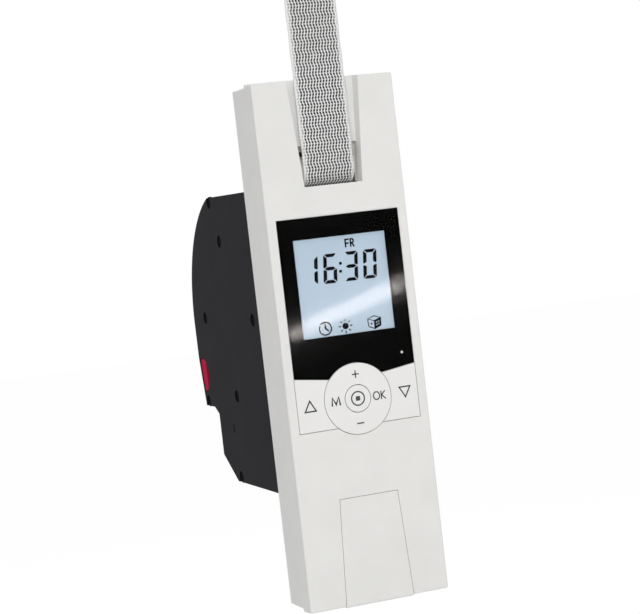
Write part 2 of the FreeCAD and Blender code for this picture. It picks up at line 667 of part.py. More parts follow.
def lcd_glass():
    y0 = FRONT_Y + LCD_DEPTH
    width = WINDOW_W + 2 * LCD_MARGIN
    glass = slab(width, y0, y0 + LCD_T / 2, WINDOW_LOW_Z - LCD_MARGIN, WINDOW_TOP_Z + LCD_MARGIN)
    back = slab(width, y0 + LCD_T / 2, y0 + LCD_T, WINDOW_LOW_Z - 2 * LCD_MARGIN,
                WINDOW_TOP_Z + LCD_MARGIN)
    return fuse(glass, back)


def lcd_frame():
    """Moulded tray that holds the glass, with a light guide behind it, on the board."""
    y0 = FRONT_Y + LCD_DEPTH
    width = WINDOW_W + 2 * LCD_MARGIN
    low = WINDOW_LOW_Z - 2 * LCD_MARGIN
    top = WINDOW_TOP_Z + LCD_MARGIN
    tray = slab(width + 2 * TRAY_WALL, y0 + LCD_T / 2, BOARD_Y, low - TRAY_WALL, top + TRAY_WALL)
    seat = slab(width + 2 * TRAY_GAP, y0, y0 + LCD_T, low - TRAY_GAP, top + TRAY_GAP)
    pocket = slab(width - 2 * TRAY_LEDGE, y0 + LCD_T, BOARD_Y - TRAY_FLOOR,
                  low + TRAY_LEDGE, top - TRAY_LEDGE)
    return tray.cut([seat, pocket])


def lcd_backlight():
    """Light guide plate that fills the tray behind the glass."""
    y0 = FRONT_Y + LCD_DEPTH + LCD_T
    margin = TRAY_LEDGE + TRAY_GAP
    width = WINDOW_W + 2 * LCD_MARGIN - 2 * margin
    low = WINDOW_LOW_Z - 2 * LCD_MARGIN + margin
    return slab(width, y0, BOARD_Y - TRAY_FLOOR, low, WINDOW_TOP_Z + LCD_MARGIN - margin)


def status_led():
    """Light-emitting diode on the board with its pipe up to the lens front."""
    half = LED_BODY / 2
    body = block(LED_X - half, LED_X + half, BOARD_Y - LED_BODY_H, BOARD_Y, LED_Z - half, LED_Z + half)
    return fuse(body, rod_y(LED_X, LED_Z, LED_R, FRONT_Y, BOARD_Y - LED_BODY_H / 2))


def control_board():
    board = slab(2 * BOARD_HALF_W, BOARD_Y, BOARD_Y + BOARD_T, BOARD_LOW_Z, BOARD_TOP_Z)
    holes = [rod_y(x, z, BOARD_SCREW_R + LAP_GAP, BOARD_Y, BOARD_Y + BOARD_T)
             for x, z in board_screw_places()]
    return board.cut(holes)


def board_chips():
    """Packages soldered to the back of the control board."""
    y0 = BOARD_Y + BOARD_T
    return Part.makeCompound([block(x - w / 2, x + w / 2, y0, y0 + t, z - h / 2, z + h / 2)
                              for x, z, w, h, t in CHIPS])


def board_connector():
    """Plug shroud on the back of the control board for the lead to the power board."""
    y0 = BOARD_Y + BOARD_T
    floor_y = y0 + 2 * PLUG_WALL
    shroud = slab(PLUG_W, y0, y0 + PLUG_L, PLUG_Z - PLUG_H / 2, PLUG_Z + PLUG_H / 2)
    well = slab(PLUG_W - 2 * PLUG_WALL, floor_y, y0 + PLUG_L + 1, PLUG_Z - PLUG_H / 2 + PLUG_WALL,
                PLUG_Z + PLUG_H / 2 - PLUG_WALL)
    pins = []
    for i in range(PLUG_PINS):
        x = PLUG_PITCH * (i - (PLUG_PINS - 1) / 2)
        pins.append(block(x - PLUG_PIN / 2, x + PLUG_PIN / 2, floor_y - PLUG_WALL, y0 + PLUG_L - PLUG_WALL,
                          PLUG_Z - PLUG_PIN / 2, PLUG_Z + PLUG_PIN / 2))
    return fuse(shroud.cut(well), *pins)


def board_screws():
    screws = []
    for x, z in board_screw_places():
        y1 = BOARD_Y + BOARD_T
        y2 = y1 + BOARD_SCREW_HEAD_H
        head = rod_y(x, z, BOARD_SCREW_HEAD_R, y1, y2)
        slit = block(x - SLIT_W / 2, x + SLIT_W / 2, y2 - SLIT_DEPTH, y2,
                     z - BOARD_SCREW_HEAD_R, z + BOARD_SCREW_HEAD_R)
        screws.append(fuse(head, rod_y(x, z, BOARD_SCREW_R, BOARD_Y - BOARD_SCREW_L, y1)).cut(slit))
    return Part.makeCompound(screws)


def tact_switches():
    """Seven short-travel switches: two keys, the centre key and four under the ring."""
    switches = []
    for x, z in SWITCHES:
        body = block(x - SWITCH_W / 2, x + SWITCH_W / 2, BOARD_Y - SWITCH_H, BOARD_Y,
                     z - SWITCH_W / 2, z + SWITCH_W / 2)
        cap = rod_y(x, z, SWITCH_CAP_R, BOARD_Y - SWITCH_H - SWITCH_CAP_H, BOARD_Y - SWITCH_H)
        switches.append(fuse(body, cap))
    return Part.makeCompound(switches)


def up_key():
    """Left key, cut round the ring, with a lip behind the cover and a plunger."""
    back_y = FRONT_Y + COVER_FACE
    plate = prism_y(key_outline(), FRONT_Y, FRONT_Y + KEY_T)
    root_y = FRONT_Y + KEY_T / 2
    web_x = -PANEL_HALF_W + LEDGE_W / 3
    lip_y = back_y + LAP_GAP
    lip = block(-PANEL_HALF_W - KEY_LIP, web_x + KEY_WEB_W, lip_y, lip_y + KEY_LIP_T,
                KEY_LOW_Z + KEY_LIP, PANEL_LOW_Z - 3 * KEY_LIP)
    web = block(web_x, web_x + KEY_WEB_W, root_y, lip_y + KEY_LIP_T,
                KEY_LOW_Z + KEY_LIP, PANEL_LOW_Z - 3 * KEY_LIP)
    stem = rod_y(-KEY_X, RING_Z, PLUNGER_R, root_y, KEY_END_Y)
    rib_y = FRONT_Y + KEY_T + KEY_RIB_H
    ribs = [block(-KEY_X - KEY_SIDE / 2, -KEY_X + KEY_SIDE / 2, root_y, rib_y,
                  RING_Z - KEY_RIB_T / 2, RING_Z + KEY_RIB_T / 2),
            block(-KEY_X - KEY_RIB_T / 2, -KEY_X + KEY_RIB_T / 2, root_y, rib_y,
                  RING_Z - KEY_SIDE, RING_Z + KEY_SIDE)]
    room = rod_y(0, RING_Z, RING_R + KEY_GAP, FRONT_Y - 1, BOARD_Y)
    return fuse(plate.cut(room), lip, web, stem, *[r.cut(room) for r in ribs])


def stop_key():
    plate = rod_y(0, RING_Z, STOP_R, FRONT_Y, FRONT_Y + STOP_T)
    stem = rod_y(0, RING_Z, PLUNGER_R, FRONT_Y + KEY_T, KEY_END_Y)
    return fuse(plate, stem)


def nav_ring():
    """Ring key that rocks on the gimbal, with a foot over each of its four switches."""
    disc = rod_y(0, RING_Z, RING_R, FRONT_Y, FRONT_Y + KEY_T)
    bore = rod_y(0, RING_Z, STOP_R + STOP_GAP, FRONT_Y, FRONT_Y + KEY_T)
    root_y = FRONT_Y + KEY_T / 2
    inner = GIMBAL_IN_R + PIVOT_REACH
    foot = block(-RING_SWITCH_R - LUG_T / 2, -RING_SWITCH_R + LUG_T / 2, root_y, RING_END_Y,
                 RING_Z - LUG_T, RING_Z + LUG_T)
    pin = rod_x(GIMBAL_Y, RING_Z, PIVOT_R, -RING_SWITCH_R, -inner)
    feet = [rod_y(0, RING_Z + side * RING_SWITCH_R, LUG_T - LUG_CUT, root_y, RING_END_Y) for side in (-1, 1)]
    return fuse(disc.cut(bore), foot, pin, mirrored(foot), mirrored(pin), *feet)


def ring_gimbal():
    """Thin ring that lets the ring key tip about both of its axes."""
    y0 = GIMBAL_Y - GIMBAL_T / 2
    y1 = GIMBAL_Y + GIMBAL_T / 2
    ring = rod_y(0, RING_Z, GIMBAL_OUT_R, y0, y1).cut(rod_y(0, RING_Z, GIMBAL_IN_R, y0, y1))
    across = rod_x(GIMBAL_Y, RING_Z, PIVOT_R + PIVOT_GAP, -RING_R, RING_R)
    upright = rod_z(0, GIMBAL_Y, PIVOT_R + PIVOT_GAP, RING_Z - RING_R, RING_Z + RING_R)
    return ring.cut([across, upright])


def gimbal_base():
    """Collar on the board whose two posts carry the gimbal."""
    outer_r = GIMBAL_IN_R - CASE_GAP
    collar = rod_y(0, RING_Z, outer_r, BOARD_Y - COLLAR_H, BOARD_Y)
    collar = collar.cut(rod_y(0, RING_Z, outer_r - COLLAR_T, BOARD_Y - COLLAR_H, BOARD_Y))
    post = block(-GIMBAL_T / 2, GIMBAL_T / 2, GIMBAL_Y - GIMBAL_T / 2, BOARD_Y - COLLAR_H / 2,
                 outer_r - LUG_T, outer_r)
    pin = rod_z(0, GIMBAL_Y, PIVOT_R, outer_r - LUG_T, GIMBAL_OUT_R - PIVOT_REACH)
    arm = fuse(post, pin)
    low_arm = arm.mirror(Vector(0, 0, 0), Vector(0, 0, 1))
    for shape in (arm, low_arm):
        shape.translate(Vector(0, 0, RING_Z))
    room = SWITCH_W / 2 + LAP_GAP
    base = fuse(collar, arm, low_arm)
    return base.cut(slab(2 * room, BOARD_Y - COLLAR_H, BOARD_Y, RING_Z - room, RING_Z + room))


def tangent_run():
    """Unit direction of the belt from the roller to the coil and its offset normal."""
    dy = REEL_Y - ROLLER_Y
    dz = REEL_Z - ROLLER_Z
    reach = math.hypot(dy, dz)
    radii = ROLLER_R + COIL_R + 2 * BELT_GAP + BELT_T
    angle = math.atan2(dz, dy) + math.asin(radii / reach)
    direction = (math.cos(angle), math.sin(angle))
    normal = (direction[1], -direction[0])
    length = math.sqrt(reach ** 2 - radii ** 2)
    return direction, normal, length


def belt_run():
    """Belt from the slot round the front and bottom of the roller to the coil."""
    direction, normal, length = tangent_run()
    r_in = ROLLER_R + BELT_GAP
    r_out = r_in + BELT_T
    start = math.pi
    end = math.atan2(normal[1], normal[0]) % (2 * math.pi)
    mid = (start + end) / 2
    x0 = -BELT_W / 2

    def at(r, a):
        return Vector(x0, ROLLER_Y + r * math.cos(a), ROLLER_Z + r * math.sin(a))

    def along(v, d):
        return v + Vector(0, direction[0] * d, direction[1] * d)

    edges = [Part.Arc(at(r_in, start), at(r_in, mid), at(r_in, end)).toShape(),
             Part.makeLine(at(r_in, end), along(at(r_in, end), length)),
             Part.makeLine(along(at(r_in, end), length), along(at(r_out, end), length)),
             Part.makeLine(along(at(r_out, end), length), at(r_out, end)),
             Part.Arc(at(r_out, end), at(r_out, mid), at(r_out, start)).toShape(),
             Part.makeLine(at(r_out, start), at(r_in, start))]
    return Part.Face(Part.Wire(edges)).extrude(Vector(BELT_W, 0, 0))


def belt_free():
    """Taut stretch of belt above the slot."""
    return slab(BELT_W, BELT_Y - BELT_T / 2, BELT_Y + BELT_T / 2, ROLLER_Z, ROLLER_Z + BELT_FREE_LENGTH)


def belt_loop():
    """Folded end of the belt, sewn back on itself to hang on the shutter's hook."""
    z0 = ROLLER_Z + BELT_FREE_LENGTH
    eye_z = z0 + LOOP_LENGTH - 3.0 * BELT_T
    seam = slab(BELT_W, BELT_Y - BELT_T / 2, BELT_Y + 1.5 * BELT_T, z0, z0 + LOOP_SEAM)
    back = BELT_Y + BELT_T / 2
    outer = rod_x(back, eye_z, 3.0 * BELT_T, -BELT_W / 2, BELT_W / 2)
    seam_z = z0 + LOOP_SEAM - BELT_T
    taper = prism_x([(BELT_Y - BELT_T / 2, seam_z), (BELT_Y + 1.5 * BELT_T, seam_z),
                     (back + 3.0 * BELT_T, eye_z), (back - 3.0 * BELT_T, eye_z)], -BELT_W / 2, BELT_W / 2)
    eye = rod_x(back, eye_z, 2.0 * BELT_T, -BELT_W, BELT_W)
    inner = prism_x([(back - 0.05, z0 + LOOP_SEAM + 1.5), (back + 0.05, z0 + LOOP_SEAM + 1.5),
                     (back + 2.0 * BELT_T, eye_z), (back - 2.0 * BELT_T, eye_z)], -BELT_W, BELT_W)
    return fuse(seam, outer, taper).cut([eye, inner])


def belt_coil():
    """Wound belt on the hub, with the pocket of the belt clamp left free."""
    outer = rod_x(REEL_Y, REEL_Z, COIL_R, -BELT_W / 2, BELT_W / 2)
    return outer.cut(rod_x(REEL_Y, REEL_Z, HUB_R, -BELT_W, BELT_W))


def clamp_pocket(gap):
    half = PLATE_L / 2 + gap
    wide = PLATE_W / 2 + gap
    return block(-half, half, REEL_Y - wide, REEL_Y + wide,
                 REEL_Z + HUB_R - PLATE_DEPTH - gap, REEL_Z + HUB_R + gap)


def belt_clamp():
    """Plate that holds the belt's end in the hub, flush with the hub's round."""
    round_hub = rod_x(REEL_Y, REEL_Z, HUB_R - END_SLACK, -REEL_HALF_W, REEL_HALF_W)
    plate = clamp_pocket(0.0).common(round_hub)
    holes = [rod_z(x, REEL_Y, PLATE_HOLE_R, REEL_Z, REEL_Z + HUB_R) for x in (-PLATE_HOLE_X, PLATE_HOLE_X)]
    return plate.cut(holes)


def reel_hub():
    """Moulded hub: rim, boss that runs on the shaft, spokes and the clamp's pocket."""
    rim = rod_x(REEL_Y, REEL_Z, HUB_R, -REEL_HALF_W, REEL_HALF_W)
    rim = rim.cut(rod_x(REEL_Y, REEL_Z, HUB_R - HUB_WALL, -REEL_HALF_W, REEL_HALF_W))
    boss = rod_x(REEL_Y, REEL_Z, HUB_BOSS_R, -REEL_HALF_W, REEL_HALF_W)
    spokes = []
    for i in range(SPOKES):
        spoke = block(-REEL_HALF_W, REEL_HALF_W, REEL_Y - HUB_SPOKE_T / 2, REEL_Y + HUB_SPOKE_T / 2,
                      REEL_Z + SHAFT_R + HUB_SLACK, REEL_Z + HUB_R - HUB_WALL / 2)
        spoke.rotate(Vector(0, REEL_Y, REEL_Z), Vector(1, 0, 0), 360.0 * i / SPOKES)
        spokes.append(spoke)
    pad_y = PLATE_W / 2 + HUB_SPOKE_T
    pad_z = REEL_Z + HUB_R - PLATE_DEPTH
    pad = slab(PLATE_L + PLATE_DEPTH, REEL_Y - pad_y, REEL_Y + pad_y, pad_z - HUB_WALL, pad_z)
    hub = fuse(rim, boss, pad, *spokes)
    bore = rod_x(REEL_Y, REEL_Z, SHAFT_R + RUNNING_GAP, -REEL_HALF_W, REEL_HALF_W)
    return hub.cut([bore, clamp_pocket(END_SLACK)])


def spoke_windows(x0, x1):
    """Windows between the spokes of a disc round the reel's axis."""
    windows = []
    step = 2 * math.pi / SPOKES
    for i in range(SPOKES):
        corners = []
        for r, turn in ((WINDOW_IN_R, -1), (WINDOW_OUT_R, -1), (WINDOW_OUT_R, 1), (WINDOW_IN_R, 1)):
            half = step / 2 - SPOKE_W / (2 * r)
            angle = step * (i + 0.5) + turn * half
            corners.append((REEL_Y + r * math.cos(angle), REEL_Z + r * math.sin(angle)))
        windows.append(prism_x(corners, x0, x1))
    return windows


def reel_flange(x0):
    """Side disc of the reel with windows between its spokes."""
    disc = rod_x(REEL_Y, REEL_Z, FLANGE_R, x0, x0 + FLANGE_T)
    bore = rod_x(REEL_Y, REEL_Z, SHAFT_R + HUB_SLACK, x0, x0 + FLANGE_T)
    return disc.cut([bore] + spoke_windows(x0, x0 + FLANGE_T))


def reel_shaft():
    return rod_x(REEL_Y, REEL_Z, SHAFT_R, -CASE_IN_X + END_SLACK, CASE_IN_X - END_SLACK)


def involute_point(base_r, r, half_angle, side):
    """Point of one flank at radius r, seen from the tooth's middle line."""
    roll = math.sqrt(max(r * r / (base_r * base_r) - 1.0, 0.0))
    turn = half_angle - (roll - math.atan(roll))
    return r, side * turn


def gear(teeth, y, z, x0, x1, tooth_at, bore_r):
    """Spur gear about X with one tooth pointing along the direction tooth_at, in degrees."""
    pitch_r = MODULE * teeth / 2
    base_r = pitch_r * math.cos(math.radians(PRESSURE_ANGLE))
    tip_r = pitch_r + MODULE
    root_r = pitch_r - 1.25 * MODULE
    pitch_half = (math.pi * MODULE / 2 - BACKLASH) / (2 * pitch_r)
    roll = math.tan(math.radians(PRESSURE_ANGLE))
    half = pitch_half + roll - math.atan(roll)
    radii = [max(base_r, root_r), pitch_r, tip_r]
    points = []
    for i in range(teeth):
        middle = math.radians(tooth_at) + 2 * math.pi * i / teeth
        right = [(root_r, -min(half, math.pi / teeth * 0.9))]
        right += [involute_point(base_r, r, half, -1) for r in radii]
        left = [(r, -a) for r, a in reversed(right)]
        for r, a in right + left:
            point = (y + r * math.cos(middle + a), z + r * math.sin(middle + a))
            if not points or math.dist(points[-1], point) > 0.02:
                points.append(point)
    return prism_x(points, x0, x1).cut(rod_x(y, z, bore_r, x0, x1))


def reel_gear():
    """Large gear on the right flange, with the flange's windows run on through it."""
    x1 = REEL_GEAR_X + GEAR_W
    wheel = gear(REEL_TEETH, REEL_Y, REEL_Z, REEL_GEAR_X, x1, -90.0, SHAFT_R + HUB_SLACK)
    return wheel.cut(spoke_windows(REEL_GEAR_X, x1))


def reduction_gear():
    """Large and small gear in one piece on a fixed pin."""
    bore = GEAR_AXLE_R + RUNNING_GAP
    toward_reel = 90.0
    small = gear(PINION_TEETH, GEAR_Y, GEAR_Z, REEL_GEAR_X + GEAR_STEP, WHEEL_X + GEAR_STEP,
                 toward_reel + 180.0 / PINION_TEETH, bore)
    large = gear(WHEEL_TEETH, GEAR_Y, GEAR_Z, WHEEL_X, WHEEL_X + GEAR_W, MOTOR_ANGLE, bore)
    return fuse(large, small)


def motor_pinion():
    toward_gear = MOTOR_ANGLE - 180.0
    return gear(PINION_TEETH, MOTOR_Y, MOTOR_Z, WHEEL_X, WHEEL_X + GEAR_W,
                toward_gear + 180.0 / PINION_TEETH, MOTOR_SHAFT_R + PRESS_GAP)


def gear_axle():
    """Pin right across the case that the reduction gear turns on."""
    return rod_x(GEAR_Y, GEAR_Z, GEAR_AXLE_R, -CASE_IN_X, CASE_IN_X)


def motor_shaft():
    x0 = PLATE_X - MOTOR_PLATE_T - MOTOR_SHAFT_L + HUB_SLACK
    return rod_x(MOTOR_Y, MOTOR_Z, MOTOR_SHAFT_R, x0, WHEEL_X + GEAR_W + END_SLACK)


def gear_head():
    """Sealed planet gear stage on the motor's front."""
    x1 = PLATE_X - MOTOR_PLATE_T
    body = rod_x(MOTOR_Y, MOTOR_Z, MOTOR_R, x1 - GEAR_HEAD_L, x1)
    collar = rod_x(MOTOR_Y, MOTOR_Z, MOTOR_COLLAR_R, x1, x1 + MOTOR_PLATE_T)
    flats = slab(4 * MOTOR_R, MOTOR_Y - MOTOR_R, MOTOR_Y + MOTOR_R,
                 MOTOR_Z - MOTOR_R + HUB_SLACK, MOTOR_Z + MOTOR_R - HUB_SLACK)
    bore = rod_x(MOTOR_Y, MOTOR_Z, MOTOR_SHAFT_R + RUNNING_GAP, x1 - MOTOR_SHAFT_L, x1 + MOTOR_PLATE_T)
    return fuse(body.common(flats), collar).cut(bore)


def motor_can():
    """Steel can of the drive motor with its rear bearing cap and two tags."""
    x1 = PLATE_X - MOTOR_PLATE_T - GEAR_HEAD_L
    x0 = -CASE_IN_X + MOTOR_END_GAP
    can = rod_x(MOTOR_Y, MOTOR_Z, MOTOR_R - CASE_GAP, x0, x1)
    cap = rod_x(MOTOR_Y, MOTOR_Z, MOTOR_CAP_R, -CASE_IN_X + END_SLACK, x0)
    low = MOTOR_Z + MOTOR_R / 2
    tags = [block(-CASE_IN_X + CASE_GAP, x0 + HUB_SLACK, y - TAG_T / 2, y + TAG_T / 2, low, low + TAG_H)
            for y in (MOTOR_Y - MOTOR_R / 2, MOTOR_Y + MOTOR_R / 2)]
    return fuse(can, cap, *tags)


def motor_plate_places():
    return [(MOTOR_Y + y, MOTOR_Z + z) for y, z in MOTOR_SCREWS]


def motor_plate():
    """Steel plate on three bosses of the right case half; the motor hangs on it."""
    x0 = PLATE_X - MOTOR_PLATE_T
    plate = prism_x([(MOTOR_Y + y, MOTOR_Z + z) for y, z in MOTOR_PLATE], x0, PLATE_X)
    holes = [rod_x(y, z, MOTOR_SCREW_R + END_SLACK, x0, PLATE_X) for y, z in motor_plate_places()]
    return plate.cut(holes + [rod_x(MOTOR_Y, MOTOR_Z, MOTOR_COLLAR_R + PIVOT_GAP, x0, PLATE_X)])


def motor_plate_screws():
    screws = []
    for y, z in motor_plate_places():
        x0 = PLATE_X - MOTOR_PLATE_T
        head = rod_x(y, z, MOTOR_SCREW_HEAD_R, x0 - MOTOR_SCREW_HEAD_H, x0)
        screws.append(fuse(head, rod_x(y, z, MOTOR_SCREW_R, x0, x0 + MOTOR_SCREW_L)))
    return Part.makeCompound(screws)


def bearing_disc():
    """Spoked disc on the left wall that steadies the reel's shaft, held by four screws."""
    x0 = -CASE_IN_X
    x1 = x0 + BEARING_T
    disc = rod_x(REEL_Y, REEL_Z, BEARING_R, x0, x1)
    boss = rod_x(REEL_Y, REEL_Z, BEARING_BOSS_R, x0, x1 + BEARING_BOSS_H)
    bores = [rod_x(REEL_Y, REEL_Z, SHAFT_R + PRESS_GAP, x0, x1 + BEARING_BOSS_H)]
    bores += [rod_x(y, z, CASE_SCREW_R - THREAD_GRIP, x0, x1) for y, z in bearing_screw_places()]
    return fuse(disc.cut(spoke_windows(x0, x1)), boss).cut(bores)


def bearing_screw_places():
    return [(REEL_Y + BEARING_SCREW_R * math.cos(math.radians(a)),
             REEL_Z + BEARING_SCREW_R * math.sin(math.radians(a))) for a in (0, 90, 180, 270)]


def flange_half():
    """Half of the case's front flange, on the left, that seats on the frame."""
    w = CASE_HALF_W + CASE_FLANGE_SIDE
    flange = block(-w, 0.0, FLANGE_Y, -FRAME_PLATE,
                   CASE_LOW_Z - CASE_FLANGE_END, CASE_TOP_Z + CASE_FLANGE_END)
    holes = [rod_y(-FRAME_SCREW_X, z, FRAME_SCREW_R + END_SLACK, FLANGE_Y, -FRAME_PLATE)
             for z in (-FRAME_SCREW_Z, FRAME_SCREW_Z)]
    return flange.cut(holes)


def left_half():
    """Left half of the case: outer wall, flange and open front."""
    body = case_prism(0.0, -CASE_HALF_W, 0.0)
    hollow = case_prism(CASE_WALL, -CASE_IN_X, 0.0)
    mouth = block(-CASE_IN_X, 0.0, FLANGE_Y - 1, FLANGE_Y + 2 * CASE_WALL,
                  CASE_LOW_Z + CASE_WALL, CASE_TOP_Z - CASE_WALL)
    return fuse(body, flange_half()).cut([hollow, mouth])


def board_rails():
    """Two ribs on the left wall that hold the power board's edge between them."""
    x0 = -CASE_IN_X - HUB_SLACK
    x1 = -POWER_HALF_W + RAIL_T
    low = CASE_LOW_Z + CASE_WALL - HUB_SLACK
    top = POWER_TOP_Z - CASE_FLANGE_SIDE
    back_y = POWER_Y + BOARD_T
    return [block(x0, x1, POWER_Y - RAIL_T, POWER_Y, low, top),
            block(x0, x1, back_y, back_y + RAIL_T, low, top)]


def case_bosses(x0, x1):
    """Screw bosses in the corners of the case."""
    solid = case_prism(CASE_WALL / 2, x0, x1)
    return [rod_x(y, z, CASE_BOSS_R, x0, x1).common(solid) for y, z in CASE_SCREWS]


def left_housing():
    """Left case half: seven recessed screw places and the release lever's window."""
    shell = left_half()
    bosses = case_bosses(-CASE_IN_X - HUB_SLACK, 0.0)
    pin_boss = rod_x(GEAR_Y, GEAR_Z, GEAR_BOSS_R, -CASE_IN_X - HUB_SLACK, -CASE_IN_X + GEAR_BOSS_H)
    shell = fuse(shell, pin_boss, *bosses, *board_rails())
    cuts = [rod_x(y, z, CASE_SCREW_R + THREAD_GRIP, -CASE_HALF_W, 0.0) for y, z in CASE_SCREWS]
    cuts += [rod_x(y, z, CASE_SCREW_R + THREAD_GRIP, -CASE_HALF_W, -CASE_IN_X)
             for y, z in bearing_screw_places()]
    cuts += [rod_x(y, z, CASE_HEAD_R, -CASE_HALF_W, -CASE_HALF_W + CASE_HEAD_DEPTH)
             for y, z in CASE_SCREWS + tuple(bearing_screw_places())]
    cuts.append(rod_x(GEAR_Y, GEAR_Z, GEAR_AXLE_R + PRESS_GAP, -CASE_IN_X, 0.0))
    cuts += [lever_window(), lever_hole(LEVER_PIN_R)]
    return shell.cut(cuts)


def lever_window():
    """Opening for the lever in the side wall; a rim stays between it and the case's back."""
    x0 = -CASE_HALF_W - 1
    x1 = -CASE_HALF_W + LEVER_POCKET
    return rod_x(LEVER_Y, LEVER_Z, LEVER_WINDOW_R, x0, x1).common(case_prism(LEVER_RIM, x0, x1))


def lever_hole(r):
    """Bore or pin along the lever's hinge."""
    half = LEVER_PIN_L / 2
    return rod_z(-CASE_HALF_W + LEVER_PIN_X, LEVER_Y - LEVER_PIN_DY, r, LEVER_Z - half, LEVER_Z + half)


def release_lever():
    """Tab with a straight front edge that follows the window at its ends and back."""
    x0 = -CASE_HALF_W + LEVER_SINK
    x1 = x0 + LEVER_T
    disc = rod_x(LEVER_Y, LEVER_Z, LEVER_WINDOW_R - LEVER_GAP, x0, x1)
    tab = disc.common(case_prism(LEVER_RIM + LEVER_GAP, x0, x1))
    front = block(x0, x1, LEVER_Y - LEVER_WINDOW_R, LEVER_Y - LEVER_FRONT_DY,
                  LEVER_Z - LEVER_WINDOW_R, LEVER_Z + LEVER_WINDOW_R)
    return tab.cut([front, lever_hole(LEVER_PIN_R + RUNNING_GAP)])


def lever_pin():
    return lever_hole(LEVER_PIN_R)


def lap_rim():
    """Rim on the right half that reaches inside the left one and keeps the halves in line."""
    inner = CASE_WALL + LAP_RIM_T
    root = case_prism(CASE_WALL / 2, 0.0, CASE_LAP).cut(case_prism(inner, 0.0, CASE_LAP))
    tongue = case_prism(CASE_WALL + END_SLACK, -CASE_LAP, 0.0).cut(case_prism(inner, -CASE_LAP, 0.0))
    x0 = -CASE_LAP
    clear = [block(x0, CASE_LAP, FLANGE_Y, FLANGE_Y + 6 * CASE_WALL, CASE_LOW_Z, CASE_TOP_Z)]
    clear += [rod_x(y, z, CASE_BOSS_R + CASE_GAP, x0, CASE_LAP) for y, z in CASE_SCREWS]
    clear.append(block(x0, CASE_LAP, POWER_Y - 2 * RAIL_T, POWER_Y + BOARD_T + 2 * RAIL_T,
                       CASE_LOW_Z, 0.0))
    return [root.cut(clear), tongue.cut(clear)]


def right_housing():
    """Right case half: shaft boss, gear pin boss, motor plate bosses and the lap rim."""
    x1 = CASE_IN_X + HUB_SLACK
    bosses = case_bosses(0.0, REEL_GEAR_X - CHEEK_GAP)
    bosses.append(rod_x(REEL_Y, REEL_Z, SHAFT_BOSS_R, WHEEL_X, x1))
    bosses += [rod_x(y, z, MOTOR_BOSS_R, PLATE_X, x1) for y, z in motor_plate_places()]
    rails = [mirrored(rail) for rail in board_rails()]
    shell = fuse(mirrored(left_half()), *lap_rim(), *bosses, *rails)
    screw_r = CASE_SCREW_R - THREAD_GRIP
    bores = [rod_x(y, z, screw_r, 0.0, PLATE_X) for y, z in CASE_SCREWS]
    bores.append(rod_x(REEL_Y, REEL_Z, SHAFT_R + PRESS_GAP, WHEEL_X, CASE_IN_X))
    bores.append(rod_x(GEAR_Y, GEAR_Z, GEAR_AXLE_R + PRESS_GAP, 0.0, CASE_IN_X + CASE_WALL / 2))
    bores += [rod_x(y, z, MOTOR_SCREW_R + PRESS_GAP, PLATE_X, PLATE_X + MOTOR_SCREW_L)
              for y, z in motor_plate_places()]
    return shell.cut(bores)


def case_screws():
    """Long screws that clamp the halves and short ones that hold the bearing disc."""
    x_head = -CASE_HALF_W + CASE_HEAD_DEPTH
    ends = [(place, x_head + CASE_SCREW_L) for place in CASE_SCREWS]
    ends += [(place, -CASE_IN_X + BEARING_T) for place in bearing_screw_places()]
    screws = []
    for (y, z), x1 in ends:
        head = rod_x(y, z, CASE_HEAD_R - THREAD_GRIP, x_head - CASE_HEAD_H, x_head)
        screws.append(fuse(head, rod_x(y, z, CASE_SCREW_R - THREAD_GRIP, x_head, x1)))
    return Part.makeCompound(screws)


def frame_screws():
    """Four screws through the case's flange into the frame."""
    screws = []
    for x in (-FRAME_SCREW_X, FRAME_SCREW_X):
        for z in (-FRAME_SCREW_Z, FRAME_SCREW_Z):
            head = rod_y(x, z, FRAME_SCREW_HEAD_R, FLANGE_Y - FRAME_SCREW_HEAD_H, FLANGE_Y)
            screws.append(fuse(head, rod_y(x, z, FRAME_SCREW_R, FLANGE_Y, -CHEEK_GAP)))
    return Part.makeCompound(screws)


def deflection_roller():
    """Roller under the belt, with shallow grooves that grip the weave."""
    x1 = ROLLER_W / 2
    roller = rod_x(ROLLER_Y, ROLLER_Z, ROLLER_R, -x1, x1)
    cuts = [rod_x(ROLLER_Y, ROLLER_Z, ROLLER_AXLE_R + PRESS_GAP, -x1, x1)]
    for x in (-GROOVE_PITCH, 0.0, GROOVE_PITCH):
        band = rod_x(ROLLER_Y, ROLLER_Z, ROLLER_R + 1, x - GROOVE_W / 2, x + GROOVE_W / 2)
        core = rod_x(ROLLER_Y, ROLLER_Z, ROLLER_R - GROOVE_DEPTH, x - GROOVE_W / 2, x + GROOVE_W / 2)
        cuts.append(band.cut(core))
    return roller.cut(cuts)


def roller_axle():
    x0 = -CHEEK_X - CHEEK_T - AXLE_END
    x1 = ENCODER_X + ENCODER_T + AXLE_END
    return rod_x(ROLLER_Y, ROLLER_Z, ROLLER_AXLE_R, x0, x1)


